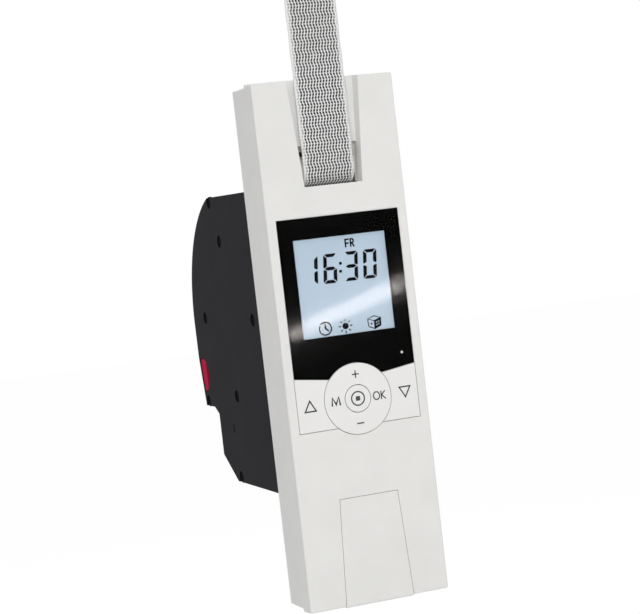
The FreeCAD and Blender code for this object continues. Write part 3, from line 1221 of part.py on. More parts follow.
def roller_bracket():
    """Two cheeks that line the slot's sides and carry the roller, joined above and behind it."""
    front = FRONT_Y + CHANNEL_DEPTH + COVER_WALL + LAP_GAP
    back = -FRAME_PLATE
    top = SLOT_TOP_Z + BRIDGE_T
    outline = [(front, SLOT_BOTTOM_Z + CHEEK_GAP), (front, top), (back, top),
               (back, ROLLER_Z - ROLLER_AXLE_R / 2), (ROLLER_Y, SLOT_BOTTOM_Z + CHEEK_GAP)]
    bore = rod_x(ROLLER_Y, ROLLER_Z, ROLLER_AXLE_R + RUNNING_GAP, -COVER_W, COVER_W)
    left = prism_x(outline, -CHEEK_X - CHEEK_T, -CHEEK_X).cut(bore)
    width = 2 * (CHEEK_X + CHEEK_T)
    guide = slab(width, front, front + BRIDGE_T, ROLLER_Z + ROLLER_R + BRIDGE_T, top)
    foot = slab(width, back - BRIDGE_T, back, ROLLER_Z + BRIDGE_T, top)
    return fuse(left, mirrored(left), guide, foot)


def encoder_wheel():
    """Slotted disc on the roller's axle that counts the belt's travel."""
    x1 = ENCODER_X + ENCODER_T
    disc = rod_x(ROLLER_Y, ROLLER_Z, ENCODER_R, ENCODER_X, x1)
    cuts = [rod_x(ROLLER_Y, ROLLER_Z, ROLLER_AXLE_R + PRESS_GAP, ENCODER_X, x1)]
    for i in range(ENCODER_SLOTS):
        slot = block(ENCODER_X, x1, ROLLER_Y - ENCODER_SLOT_W / 2, ROLLER_Y + ENCODER_SLOT_W / 2,
                     ROLLER_Z + ENCODER_SLOT_IN_R, ROLLER_Z + ENCODER_R + 1)
        slot.rotate(Vector(0, ROLLER_Y, ROLLER_Z), Vector(1, 0, 0), 360.0 * i / ENCODER_SLOTS)
        cuts.append(slot)
    return disc.cut(cuts)


def encoder_sensor():
    """Fork-shaped light barrier round the slotted disc, on the bracket's right cheek."""
    x0 = CHEEK_X + CHEEK_T
    y0 = ROLLER_Y + ENCODER_SLOT_IN_R
    low = ROLLER_Z - SENSOR_H / 2
    fork = block(x0, x0 + SENSOR_W, y0, -FRAME_PLATE, low, low + SENSOR_H)
    gap = block(x0 + SENSOR_WALL, ENCODER_X + ENCODER_T + SENSOR_WALL, y0, ROLLER_Y + ENCODER_R + SENSOR_WALL,
                low, low + SENSOR_H)
    return fork.cut(gap)


def power_board():
    return slab(2 * POWER_HALF_W, POWER_Y, POWER_Y + BOARD_T, POWER_LOW_Z, POWER_TOP_Z)


def on_power_board(x, z, width, height, length, lift=0.0):
    """Box on the back of the power board; z counts from the board's lower edge."""
    y0 = POWER_Y + BOARD_T + lift
    mid = POWER_LOW_Z + z
    return block(x - width / 2, x + width / 2, y0, y0 + height, mid - length / 2, mid + length / 2)


def transformer():
    """Laminated core with its winding bobbin."""
    core = on_power_board(CORE_X, CORE_Z, CORE_W, CORE_H, CORE_W, TRAY_WALL)
    return fuse(core, on_power_board(CORE_X, CORE_Z, BOBBIN_W, BOBBIN_H, BOBBIN_L))


def power_parts():
    """Capacitors, relays and fuse on the power board."""
    y0 = POWER_Y + BOARD_T
    relays = [on_power_board(x, RELAY_Z, RELAY_W, RELAY_H, RELAY_L) for x in RELAY_X]
    return Part.makeCompound(relays + [
        rod_y(CAPACITOR_X, POWER_LOW_Z + BIG_CAPACITOR_Z, BIG_CAPACITOR_R, y0, y0 + BIG_CAPACITOR_H),
        rod_y(CAPACITOR_X, POWER_LOW_Z + SMALL_CAPACITOR_Z, SMALL_CAPACITOR_R, y0, y0 + SMALL_CAPACITOR_H),
        on_power_board(FUSE_X, RELAY_Z, FUSE_W, FUSE_H, FUSE_L),
    ])


def terminal_places():
    return [TERMINAL_PITCH * (i - (TERMINAL_WAYS - 1) / 2) for i in range(TERMINAL_WAYS)]


def terminal_block():
    """Five-way screw terminal on the board's front, reached through the frame."""
    low = TERMINAL_LOW_Z
    y0 = POWER_Y - TERMINAL_H
    wall = TERMINAL_WELL_R - WIRE_MOUTH / 2
    body = slab(TERMINAL_W, y0, POWER_Y, low, low + TERMINAL_L)
    step = slab(TERMINAL_W, y0, y0 + TERMINAL_STEP_H, low, low + TERMINAL_STEP_L)
    cuts = [step]
    for x in terminal_places():
        cuts.append(rod_y(x, low + TERMINAL_SCREW_Z, TERMINAL_WELL_R, y0, y0 + 2 * TERMINAL_STEP_H))
        mouth = x - WIRE_MOUTH / 2
        cuts.append(block(mouth, mouth + WIRE_MOUTH, POWER_Y - WIRE_MOUTH - wall, POWER_Y - wall,
                          low, low + TERMINAL_SCREW_Z - TERMINAL_WELL_R))
    return body.cut(cuts)


def terminal_screws():
    y0 = POWER_Y - TERMINAL_H + TERMINAL_SCREW_SUNK
    z = TERMINAL_LOW_Z + TERMINAL_SCREW_Z
    screws = []
    for x in terminal_places():
        screw = rod_y(x, z, TERMINAL_SCREW_R, y0, y0 + TERMINAL_SCREW_L)
        slit = block(x - SLIT_W / 2, x + SLIT_W / 2, y0, y0 + SLIT_DEPTH, z - TERMINAL_WELL_R,
                     z + TERMINAL_WELL_R)
        screws.append(screw.cut(slit))
    return Part.makeCompound(screws)


def cable_clamp():
    """Strain relief bar with a hollow for the wall cable, below its hole."""
    y1 = -FRAME_PLATE
    bar = slab(CLAMP_W, y1 - CLAMP_T, y1, CLAMP_Z - CLAMP_H / 2, CLAMP_Z + CLAMP_H / 2)
    hollow = rod_z(0, y1, CLAMP_HOLLOW_R, CLAMP_Z - CLAMP_H, CLAMP_Z + CLAMP_H)
    holes = [rod_y(x, CLAMP_Z, CLAMP_SCREW_R + PIVOT_GAP, y1 - CLAMP_T, y1)
             for x in (-CLAMP_SCREW_X, CLAMP_SCREW_X)]
    return bar.cut([hollow] + holes)


def clamp_screws():
    y0 = -FRAME_PLATE - CLAMP_T
    return Part.makeCompound([fuse(rod_y(x, CLAMP_Z, CLAMP_HEAD_R, y0 - CLAMP_HEAD_H, y0),
                                   rod_y(x, CLAMP_Z, CLAMP_SCREW_R, y0, -FRAME_PLATE))
                              for x in (-CLAMP_SCREW_X, CLAMP_SCREW_X)])


def sensor_socket():
    """Round jack for a light sensor's plug, behind the service cover."""
    y1 = -FRAME_PLATE
    half = SOCKET_W / 2
    face_y = y1 - SOCKET_BODY_H
    nose_y = face_y - SOCKET_NOSE_H
    body = block(SOCKET_X - half, SOCKET_X + half, face_y, y1, SOCKET_Z - half, SOCKET_Z + half)
    nose = rod_y(SOCKET_X, SOCKET_Z, SOCKET_R + SOCKET_NOSE_WALL, nose_y, face_y)
    return fuse(body, nose).cut(rod_y(SOCKET_X, SOCKET_Z, SOCKET_R, nose_y, y1 - SOCKET_NOSE_WALL))


def build():
    os.makedirs("parts", exist_ok=True)
    key = up_key()
    right_key = mirrored(key)
    shapes = {
        "mounting_frame": mounting_frame(),
        "front_cover": front_cover(),
        "service_cover": service_cover(),
        "display_lens": display_lens(),
        "display_mask": display_mask(),
        "lcd_glass": lcd_glass(),
        "lcd_frame": lcd_frame(),
        "lcd_backlight": lcd_backlight(),
        "status_led": status_led(),
        "control_board": control_board(),
        "board_chips": board_chips(),
        "board_connector": board_connector(),
        "board_screws": board_screws(),
        "tact_switches": tact_switches(),
        "up_key": key,
        "down_key": right_key,
        "stop_key": stop_key(),
        "nav_ring": nav_ring(),
        "ring_gimbal": ring_gimbal(),
        "gimbal_base": gimbal_base(),
        "left_housing": left_housing(),
        "right_housing": right_housing(),
        "case_screws": case_screws(),
        "frame_screws": frame_screws(),
        "release_lever": release_lever(),
        "lever_pin": lever_pin(),
        "reel_hub": reel_hub(),
        "reel_flange_left": reel_flange(-REEL_HALF_W - FLANGE_T),
        "reel_flange_right": reel_flange(REEL_HALF_W),
        "reel_gear": reel_gear(),
        "reel_shaft": reel_shaft(),
        "bearing_disc": bearing_disc(),
        "belt_clamp": belt_clamp(),
        "belt_coil": belt_coil(),
        "belt_run": belt_run(),
        "belt_free": belt_free(),
        "belt_loop": belt_loop(),
        "deflection_roller": deflection_roller(),
        "roller_axle": roller_axle(),
        "roller_bracket": roller_bracket(),
        "encoder_wheel": encoder_wheel(),
        "encoder_sensor": encoder_sensor(),
        "reduction_gear": reduction_gear(),
        "gear_axle": gear_axle(),
        "motor_can": motor_can(),
        "gear_head": gear_head(),
        "motor_shaft": motor_shaft(),
        "motor_pinion": motor_pinion(),
        "motor_plate": motor_plate(),
        "motor_plate_screws": motor_plate_screws(),
        "power_board": power_board(),
        "transformer": transformer(),
        "power_parts": power_parts(),
        "terminal_block": terminal_block(),
        "terminal_screws": terminal_screws(),
        "cable_clamp": cable_clamp(),
        "clamp_screws": clamp_screws(),
        "sensor_socket": sensor_socket(),
    }
    for name, shape in shapes.items():
        save(name, shape)


build()
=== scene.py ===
import json
import math

import bmesh
import bpy
from mathutils import Matrix, Vector

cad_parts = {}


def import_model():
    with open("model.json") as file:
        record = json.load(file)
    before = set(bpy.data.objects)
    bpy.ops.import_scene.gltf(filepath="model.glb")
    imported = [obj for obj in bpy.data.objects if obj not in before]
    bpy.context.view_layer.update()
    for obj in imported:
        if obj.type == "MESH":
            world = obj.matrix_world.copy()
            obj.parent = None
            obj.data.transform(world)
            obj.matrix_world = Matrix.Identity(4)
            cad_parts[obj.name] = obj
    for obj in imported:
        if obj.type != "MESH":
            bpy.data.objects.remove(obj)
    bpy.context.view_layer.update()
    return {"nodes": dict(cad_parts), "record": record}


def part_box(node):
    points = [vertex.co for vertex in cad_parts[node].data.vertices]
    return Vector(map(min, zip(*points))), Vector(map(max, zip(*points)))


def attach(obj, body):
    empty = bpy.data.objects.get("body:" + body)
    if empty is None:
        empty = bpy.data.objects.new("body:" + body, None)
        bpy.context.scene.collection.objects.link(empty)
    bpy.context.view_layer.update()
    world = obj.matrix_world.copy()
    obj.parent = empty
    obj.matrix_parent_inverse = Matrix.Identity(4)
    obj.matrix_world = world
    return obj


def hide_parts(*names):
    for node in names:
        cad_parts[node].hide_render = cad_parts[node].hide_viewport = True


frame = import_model()

MM = 0.001

# Sizes, planes and centres of the object, in metres, read from the frame
RING_LO, RING_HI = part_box("nav_ring")
GLASS_LO, GLASS_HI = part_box("lcd_glass")
COIL_LO, COIL_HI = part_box("belt_coil")
ROLLER_LO, ROLLER_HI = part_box("deflection_roller")
FREE_LO, FREE_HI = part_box("belt_free")
RUN_END_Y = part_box("belt_run")[1].y
LOOP_TOP_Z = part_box("belt_loop")[1].z
CASE_SIDE_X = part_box("left_housing")[0].x
FRONT_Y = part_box("stop_key")[0].y
RING_Z = (RING_LO.z + RING_HI.z) / 2
COIL_Y = (COIL_LO.y + COIL_HI.y) / 2
COIL_Z = (COIL_LO.z + COIL_HI.z) / 2
COIL_R = (COIL_HI.z - COIL_LO.z) / 2
ROLLER_Y = (ROLLER_LO.y + ROLLER_HI.y) / 2
ROLLER_Z = (ROLLER_LO.z + ROLLER_HI.z) / 2
BELT_HALF_W = (FREE_HI.x - FREE_LO.x) / 2
BELT_T = FREE_HI.y - FREE_LO.y
BELT_Y = (FREE_HI.y + FREE_LO.y) / 2
PRINT_T = 0.04 * MM       # print stands this much proud of its surface
SQUARE = ((-1, -1), (1, -1), (1, 1), (-1, 1))    # corners, in half sides

# Sockets of a Mix node that mixes colours
MIX_A = 6
MIX_B = 7
MIX_RESULT = 2


def principled(name):
    """New material with its nodes, links and shader."""
    mat = bpy.data.materials.new(name)
    mat.use_nodes = True
    nodes = mat.node_tree.nodes
    return mat, nodes, mat.node_tree.links, nodes["Principled BSDF"]


def add(nodes, kind, **values):
    """Adds a node; values name its properties, or its inputs when they start with in_."""
    node = nodes.new(kind)
    for key, value in values.items():
        if key.startswith("in_"):
            node.inputs[key[3:].replace("_", " ")].default_value = value
        else:
            setattr(node, key, value)
    return node


def math_node(nodes, links, operation, first, second=None, clamp=False):
    """Math node on numbers or sockets; gives its output."""
    node = add(nodes, "ShaderNodeMath", operation=operation, use_clamp=clamp)
    for i, value in enumerate((first, second)):
        if value is None:
            continue
        if isinstance(value, (int, float)):
            node.inputs[i].default_value = value
        else:
            links.new(value, node.inputs[i])
    return node.outputs[0]


def object_place(nodes):
    return add(nodes, "ShaderNodeTexCoord").outputs["Object"]


def noise(nodes, links, vector, scale, detail):
    texture = add(nodes, "ShaderNodeTexNoise", in_Scale=scale, in_Detail=detail)
    links.new(vector, texture.inputs["Vector"])
    return texture.outputs["Fac"]


def relief(nodes, links, shader, height, depth, strength=1.0):
    """Bump of that depth from a height between 0 and 1."""
    bump = add(nodes, "ShaderNodeBump", in_Distance=depth, in_Strength=strength)
    links.new(height, bump.inputs["Height"])
    links.new(bump.outputs["Normal"], shader.inputs["Normal"])


def blend(nodes, links, source, low, high, low_at=0.0, high_at=1.0):
    """Colour that runs from low to high while the source rises from low_at to high_at."""
    ramp = add(nodes, "ShaderNodeValToRGB")
    elements = ramp.color_ramp.elements
    elements[0].position = low_at
    elements[0].color = (*low, 1)
    elements[1].position = high_at
    elements[1].color = (*high, 1)
    links.new(source, ramp.inputs["Fac"])
    return ramp.outputs["Color"]


def roughness_range(nodes, links, shader, source, low, high):
    spread = add(nodes, "ShaderNodeMapRange", in_To_Min=low, in_To_Max=high)
    links.new(source, spread.inputs["Value"])
    links.new(spread.outputs["Result"], shader.inputs["Roughness"])


# Tone of a surface: detail of its noise, and the noise values of the darkest and palest tone
TONE_DETAIL = 2.0
TONE_LOW_AT = 0.3
TONE_HIGH_AT = 0.7


def mottled(nodes, links, shader, place, color, spread, scale):
    """Slow colour variation round a base colour; gives the noise behind it."""
    slow = noise(nodes, links, place, scale, TONE_DETAIL)
    low = [c * (1 - spread) for c in color]
    high = [min(1.0, c * (1 + spread)) for c in color]
    tone = blend(nodes, links, slow, low, high, TONE_LOW_AT, TONE_HIGH_AT)
    links.new(tone, shader.inputs["Base Color"])
    return slow


# Noise scales are in cells per metre
GRAIN_SCALE = 2600.0
GRAIN_DEPTH = 0.004 * MM
GRAIN_DETAIL = 4.0
PLASTIC_TONE_SCALE = 60.0
PLASTIC_GLOSS_SPREAD = 0.05


def plastic(name, color, rough, grain_scale=GRAIN_SCALE, grain_depth=GRAIN_DEPTH, spread=0.02,
            specular=0.5):
    """Moulded plastic: eroded grain, slow tone variation and uneven gloss."""
    mat, nodes, links, shader = principled(name)
    shader.inputs["Specular IOR Level"].default_value = specular
    place = object_place(nodes)
    relief(nodes, links, shader, noise(nodes, links, place, grain_scale, GRAIN_DETAIL), grain_depth)
    slow = mottled(nodes, links, shader, place, color, spread, PLASTIC_TONE_SCALE)
    roughness_range(nodes, links, shader, slow, rough - PLASTIC_GLOSS_SPREAD,
                    rough + PLASTIC_GLOSS_SPREAD)
    return mat


METAL_STRETCH = (1.0, 1.0, 30.0)
METAL_LINE_SCALE = 900.0
METAL_LINE_DETAIL = 3.0
METAL_LINE_DEPTH = 0.002 * MM
METAL_TONE_SCALE = 120.0
METAL_TONE_SPREAD = 0.06
METAL_GLOSS_SPREAD = 0.08


def metal(name, color, rough):
    """Metal with fine drawn or turned lines."""
    mat, nodes, links, shader = principled(name)
    shader.inputs["Metallic"].default_value = 1.0
    place = object_place(nodes)
    mapping = add(nodes, "ShaderNodeMapping", in_Scale=METAL_STRETCH)
    links.new(place, mapping.inputs["Vector"])
    lines = noise(nodes, links, mapping.outputs["Vector"], METAL_LINE_SCALE, METAL_LINE_DETAIL)
    relief(nodes, links, shader, lines, METAL_LINE_DEPTH)
    mottled(nodes, links, shader, place, color, METAL_TONE_SPREAD, METAL_TONE_SCALE)
    roughness_range(nodes, links, shader, lines, rough - METAL_GLOSS_SPREAD,
                    rough + METAL_GLOSS_SPREAD)
    return mat


BOARD_COLORS = {"Color1": (0.012, 0.10, 0.035, 1), "Color2": (0.016, 0.13, 0.045, 1),
                "Mortar": (0.03, 0.20, 0.07, 1)}
TRACK_SCALE = 260.0
TRACK_DEPTH = 0.02 * MM
TRACK_STRENGTH = 0.6
BOARD_ROUGH = 0.35


def board_material(name):
    """Circuit board: lacquer over copper tracks."""
    mat, nodes, links, shader = principled(name)
    tracks = add(nodes, "ShaderNodeTexBrick", in_Scale=TRACK_SCALE)
    for socket, color in BOARD_COLORS.items():
        tracks.inputs[socket].default_value = color
    links.new(object_place(nodes), tracks.inputs["Vector"])
    links.new(tracks.outputs["Color"], shader.inputs["Base Color"])
    relief(nodes, links, shader, tracks.outputs["Fac"], TRACK_DEPTH, TRACK_STRENGTH)
    shader.inputs["Roughness"].default_value = BOARD_ROUGH
    return mat


WINDING_SCALE = 900.0
WINDING_DISTORTION = 0.6
WINDING_DARK = (0.16, 0.07, 0.02)
WINDING_PALE = (0.42, 0.20, 0.07)
WINDING_ROUGH = 0.45


def winding_material(name):
    """Varnished laminated core and copper winding."""
    mat, nodes, links, shader = principled(name)
    layers = add(nodes, "ShaderNodeTexWave", bands_direction="Z", in_Scale=WINDING_SCALE,
                 in_Distortion=WINDING_DISTORTION)
    links.new(object_place(nodes), layers.inputs["Vector"])
    color = blend(nodes, links, layers.outputs["Fac"], WINDING_DARK, WINDING_PALE)
    links.new(color, shader.inputs["Base Color"])
    shader.inputs["Roughness"].default_value = WINDING_ROUGH
    return mat


LENS_IOR = 1.49
LENS_COLOR = (0.98, 0.985, 0.99, 1)
LENS_TINT = (0.10, 0.10, 0.10, 1)      # lowers its reflections
POLISH_SCALE = 40.0
POLISH_DETAIL = 2.0
POLISH_ROUGH = (0.03, 0.06)


def lens_material(name):
    """Clear hard-coated front plate with the faintest uneven polish."""
    mat, nodes, links, shader = principled(name)
    shader.inputs["Transmission Weight"].default_value = 1.0
    shader.inputs["IOR"].default_value = LENS_IOR
    shader.inputs["Specular Tint"].default_value = LENS_TINT
    shader.inputs["Base Color"].default_value = LENS_COLOR
    polish = noise(nodes, links, object_place(nodes), POLISH_SCALE, POLISH_DETAIL)
    roughness_range(nodes, links, shader, polish, *POLISH_ROUGH)
    return mat


LCD_LOWER = (0.50, 0.61, 0.71)
LCD_UPPER = (0.475, 0.585, 0.69)
# Painted glow: the display's emission below stands in for the light falling on it through the lens;
# its base colour is kept low under that glow
LCD_DIM = (0.40, 0.40, 0.40, 1)        # base colour, as a share of the lit colour
LCD_PAINTED_GLOW = 0.65
LCD_SPECULAR = 0.1
LCD_ROUGH = 0.35
LCD_GRAIN_SCALE = 1500.0
LCD_GRAIN_DETAIL = 2.0
LCD_GRAIN_DEPTH = 0.002 * MM
LCD_GRAIN_STRENGTH = 0.5


def lcd_material(name):
    """Liquid crystal glass: pale blue, a little brighter towards its lower edge, with a painted glow
    that stands in for the light the lens keeps from it.
    """
    mat, nodes, links, shader = principled(name)
    place = object_place(nodes)
    split = add(nodes, "ShaderNodeSeparateXYZ")
    level = add(nodes, "ShaderNodeMapRange", in_From_Min=GLASS_LO.z, in_From_Max=GLASS_HI.z)
    links.new(place, split.inputs["Vector"])
    links.new(split.outputs["Z"], level.inputs["Value"])
    color = blend(nodes, links, level.outputs["Result"], LCD_LOWER, LCD_UPPER)
    dim = add(nodes, "ShaderNodeMix", data_type="RGBA", blend_type="MULTIPLY")
    dim.inputs["Factor"].default_value = 1.0
    dim.inputs[MIX_B].default_value = LCD_DIM
    links.new(color, dim.inputs[MIX_A])
    links.new(color, shader.inputs["Emission Color"])
    links.new(dim.outputs[MIX_RESULT], shader.inputs["Base Color"])
    fine = noise(nodes, links, place, LCD_GRAIN_SCALE, LCD_GRAIN_DETAIL)
    relief(nodes, links, shader, fine, LCD_GRAIN_DEPTH, LCD_GRAIN_STRENGTH)
    shader.inputs["Emission Strength"].default_value = LCD_PAINTED_GLOW
    shader.inputs["Specular IOR Level"].default_value = LCD_SPECULAR
    shader.inputs["Roughness"].default_value = LCD_ROUGH
    return mat


# Weave of the belt: zigzag columns of warp across the width
WEAVE_PITCH = 1.32 * MM
WEAVE_PERIOD = 5.2 * MM
WEAVE_STEPS = 4           # crossings of the weft in one zigzag
WEAVE_SWING = 0.27        # sideways swing of a column, in pitches
WEAVE_EDGE = 1.25 * MM    # plain selvedge on each side
WEAVE_DEPTH = 0.16 * MM

# Painted shade: dark lines in the gaps between the columns
LINE_HALF_W = 0.37        # in pitches
LINE_SLOPE = 3.4
LINE_LEVEL = 0.74
LINE_DASH = 0.38          # how far the crossings of the weft break it
LINE_UNEVEN_SCALE = 420.0
LINE_UNEVEN_DETAIL = 1.0
LINE_UNEVEN_LOW = 0.55
LINE_UNEVEN_RISE = 0.95
LINE_GAIN = 1.25
LINE_EDGE_POWER = 1.5     # how it fades towards the selvedge
GAP_SHADE_COLOR = (0.005, 0.005, 0.006, 1)
YARN_DARK = (0.74, 0.74, 0.74)
YARN_PALE = (0.96, 0.96, 0.95)
FIBRE_STRETCH = (5200.0, 1500.0, 1.0)
FIBRE_DETAIL = 3.0
FIBRE_DEPTH = 0.06 * MM
FIBRE_STRENGTH = 0.7
BELT_ROUGH = 0.85
BELT_SHEEN = 0.15


def belt_material(name):
    """Woven belt: pale warp columns, painted shade as dark zigzag lines in the gaps between them, and
    plain pale edges.
    """
    mat, nodes, links, shader = principled(name)
    place = add(nodes, "ShaderNodeUVMap", uv_map="weave").outputs["UV"]
    split = add(nodes, "ShaderNodeSeparateXYZ")
    links.new(place, split.inputs["Vector"])
    across = split.outputs["X"]
    along = split.outputs["Y"]

    def calc(operation, first, second=None, clamp=False):
        return math_node(nodes, links, operation, first, second, clamp)

    turns = calc("DIVIDE", along, WEAVE_PERIOD)
    swing = calc("MULTIPLY", calc("PINGPONG", turns, 0.5), 4 * WEAVE_SWING)
    column = calc("ADD", calc("DIVIDE", across, WEAVE_PITCH), swing)
    gap = calc("ABSOLUTE", calc("SUBTRACT", calc("FRACT", column), 0.5))
    line = calc("SUBTRACT", 1.0, calc("DIVIDE", gap, LINE_HALF_W), True)
    line = calc("MULTIPLY", line, LINE_SLOPE, True)
    dash = calc("COSINE", calc("MULTIPLY", turns, 2 * math.pi * WEAVE_STEPS))
    dash = calc("SUBTRACT", LINE_LEVEL, calc("MULTIPLY", dash, LINE_DASH), True)
    uneven = noise(nodes, links, place, LINE_UNEVEN_SCALE, LINE_UNEVEN_DETAIL)
    uneven = calc("ADD", LINE_UNEVEN_LOW, calc("MULTIPLY", uneven, LINE_UNEVEN_RISE))
    dash = calc("MULTIPLY", dash, uneven)
    edge = calc("SUBTRACT", BELT_HALF_W, calc("ABSOLUTE", across))
    edge = calc("POWER", calc("DIVIDE", edge, 2 * WEAVE_EDGE, True), LINE_EDGE_POWER)
    # Painted shade: the mark below darkens the gaps between the warp columns, less towards the
    # selvedge
    ink = calc("MULTIPLY", calc("MULTIPLY", line, dash), edge)
    stretched = add(nodes, "ShaderNodeMapping", in_Scale=FIBRE_STRETCH)
    links.new(place, stretched.inputs["Vector"])
    fibre = noise(nodes, links, stretched.outputs["Vector"], 1.0, FIBRE_DETAIL)
    yarn = blend(nodes, links, fibre, YARN_DARK, YARN_PALE, TONE_LOW_AT, TONE_HIGH_AT)
    mix = add(nodes, "ShaderNodeMix", data_type="RGBA")
    mix.inputs[MIX_B].default_value = GAP_SHADE_COLOR
    links.new(calc("MULTIPLY", ink, LINE_GAIN, True), mix.inputs["Factor"])
    links.new(yarn, mix.inputs[MIX_A])
    links.new(mix.outputs[MIX_RESULT], shader.inputs["Base Color"])
    relief(nodes, links, shader, fibre, FIBRE_DEPTH, FIBRE_STRENGTH)
    shader.inputs["Roughness"].default_value = BELT_ROUGH
    shader.inputs["Sheen Weight"].default_value = BELT_SHEEN
    return mat


LAYER_SCALE = 260.0
LAYER_DISTORTION = 1.2
LAYER_DETAIL = 2.0
LAYER_GAP_SHADE = (0.03, 0.03, 0.035)
LAYER_PALE = (0.62, 0.62, 0.61)
LAYER_DARK_AT = 0.15
LAYER_PALE_AT = 0.6
LAYER_DEPTH = 0.3 * MM
LAYER_STRENGTH = 0.8


def wound_material(name):
    """Wound belt seen from its side: pale layers with painted shade as dark lines between them."""
    mat, nodes, links, shader = principled(name)
    centre = add(nodes, "ShaderNodeMapping", in_Location=(0.0, -COIL_Y, -COIL_Z))
    layers = add(nodes, "ShaderNodeTexWave", wave_type="RINGS", rings_direction="X",
                 in_Scale=LAYER_SCALE, in_Distortion=LAYER_DISTORTION, in_Detail=LAYER_DETAIL)
    links.new(object_place(nodes), centre.inputs["Vector"])
    links.new(centre.outputs["Vector"], layers.inputs["Vector"])
    color = blend(nodes, links, layers.outputs["Fac"], LAYER_GAP_SHADE, LAYER_PALE,
                  LAYER_DARK_AT, LAYER_PALE_AT)
    links.new(color, shader.inputs["Base Color"])
    relief(nodes, links, shader, layers.outputs["Fac"], LAYER_DEPTH, LAYER_STRENGTH)
    shader.inputs["Roughness"].default_value = BELT_ROUGH
    return mat


INK_ROUGH = 0.6
INK_GRAIN_SCALE = 4200.0
INK_GRAIN_DEPTH = 0.002 * MM
INK_SPREAD = 0.08


def ink_material(name, color, specular=0.2):
    """Printed ink with a slightly mottled coat."""
    return plastic(name, color, INK_ROUGH, INK_GRAIN_SCALE, INK_GRAIN_DEPTH, INK_SPREAD, specular)


# Colour and roughness, then grain scale, grain depth, spread of the tone and specular level
MATERIALS = {
    "white_plastic": plastic("cover_plastic", (0.765, 0.762, 0.745), 0.42),
    "key_plastic": plastic("key_plastic", (0.775, 0.773, 0.760), 0.36, 3200.0, 0.002 * MM, 0.012),
    "case_plastic": plastic("case_plastic", (0.0095, 0.0093, 0.0125), 0.62, 1900.0, 0.010 * MM,
                            0.10, 0.05),
    "lens": lens_material("lens_clear"),
    "mask": plastic("mask_print", (0.0012, 0.0012, 0.0020), 0.9, 3000.0, 0.001 * MM, 0.1, 0.0),
    "lcd": lcd_material("lcd_painted_glow"),
    "light_guide": plastic("light_guide", (0.80, 0.86, 0.90), 0.3),
    "led": plastic("led_pipe", (0.90, 0.90, 0.86), 0.2),
    "board": board_material("board_green"),
    "chip": plastic("chip_black", (0.02, 0.02, 0.02), 0.5),
    "connector": plastic("connector_cream", (0.70, 0.66, 0.52), 0.45),
    "switch": plastic("switch_black", (0.03, 0.03, 0.03), 0.4),
    "inner_plastic": plastic("inner_grey", (0.12, 0.125, 0.13), 0.5),
    "gear_plastic": plastic("gear_acetal", (0.70, 0.69, 0.64), 0.35),
    "steel": metal("steel_bright", (0.62, 0.62, 0.64), 0.25),
    "zinc_steel": metal("steel_zinc", (0.56, 0.57, 0.55), 0.38),
    "red_plastic": plastic("lever_red", (0.46, 0.006, 0.050), 0.5, specular=0.02),
    "belt": belt_material("belt_weave"),
    "terminal": plastic("terminal_green", (0.06, 0.16, 0.09), 0.45),
    "copper": winding_material("core_winding"),
}
WOUND = wound_material("wound_belt")
INK = ink_material("ink_grey", (0.030, 0.030, 0.034))
INK_SOFT = ink_material("ink_mid", (0.06, 0.06, 0.064))
SEGMENT = ink_material("lcd_segment", (0.0006, 0.0009, 0.003), 0.01)
# Near-black of blackened screws, darkened further as painted shade of their deep recesses; it also
# serves as the painted shade of the latch slot's mouth
SCREW_BLACK_AND_SHADE = plastic("screw_black_and_painted_shade", (0.0025, 0.0025, 0.003), 0.6, 1400.0, 0.010 * MM, 0.2, 0.01)

# Nodes that look different from their slot
OWN_MATERIALS = {
    "case_screws": SCREW_BLACK_AND_SHADE,
    "belt_coil": WOUND,
    "deflection_roller": MATERIALS["gear_plastic"],
    "roller_bracket": MATERIALS["gear_plastic"],
}


def dress_nodes():
    """Every CAD node takes the material of its slot, or its own."""
    slots = {s["node"]: s["material_slot"] for s in frame["record"]["subparts"]}
    for name, obj in frame["nodes"].items():
        obj.data.materials.clear()
        obj.data.materials.append(OWN_MATERIALS.get(name, MATERIALS[slots[name]]))
        for polygon in obj.data.polygons:
            polygon.material_index = 0


def new_object(name, data):
    obj = bpy.data.objects.new(name, data)
    bpy.context.scene.collection.objects.link(obj)
    return obj


def new_piece(name, verts, faces, material, body):
    """Mesh with outward normals that rides on a body and takes the given material."""
    mesh = bpy.data.meshes.new(name)
    mesh.from_pydata(verts, [], faces)
    mesh.validate()
    fix = bmesh.new()
    fix.from_mesh(mesh)
    bmesh.ops.recalc_face_normals(fix, faces=fix.faces)
    fix.to_mesh(mesh)
    fix.free()
    obj = new_object(name, mesh)
    mesh.materials.append(material)
    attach(obj, body)
    return obj


MITRE_LIMIT = 0.2         # keeps sharp corners from running far out


def offset_points(points, distance, closed):
    """Points moved sideways by distance, mitred at the corners."""
    count = len(points)
    out = []
    for i, (x, z) in enumerate(points):
        before = points[i - 1] if i or closed else None
        after = points[(i + 1) % count] if i < count - 1 or closed else None
        normals = []
        for a, b in ((before, (x, z)), ((x, z), after)):
            if a is None or b is None:
                continue
            length = math.hypot(b[0] - a[0], b[1] - a[1])
            normals.append((-(b[1] - a[1]) / length, (b[0] - a[0]) / length))
        nx = sum(n[0] for n in normals) / len(normals)
        nz = sum(n[1] for n in normals) / len(normals)
        scale = distance / max(nx * nx + nz * nz, MITRE_LIMIT)
        out.append((x + nx * scale, z + nz * scale))
    return out


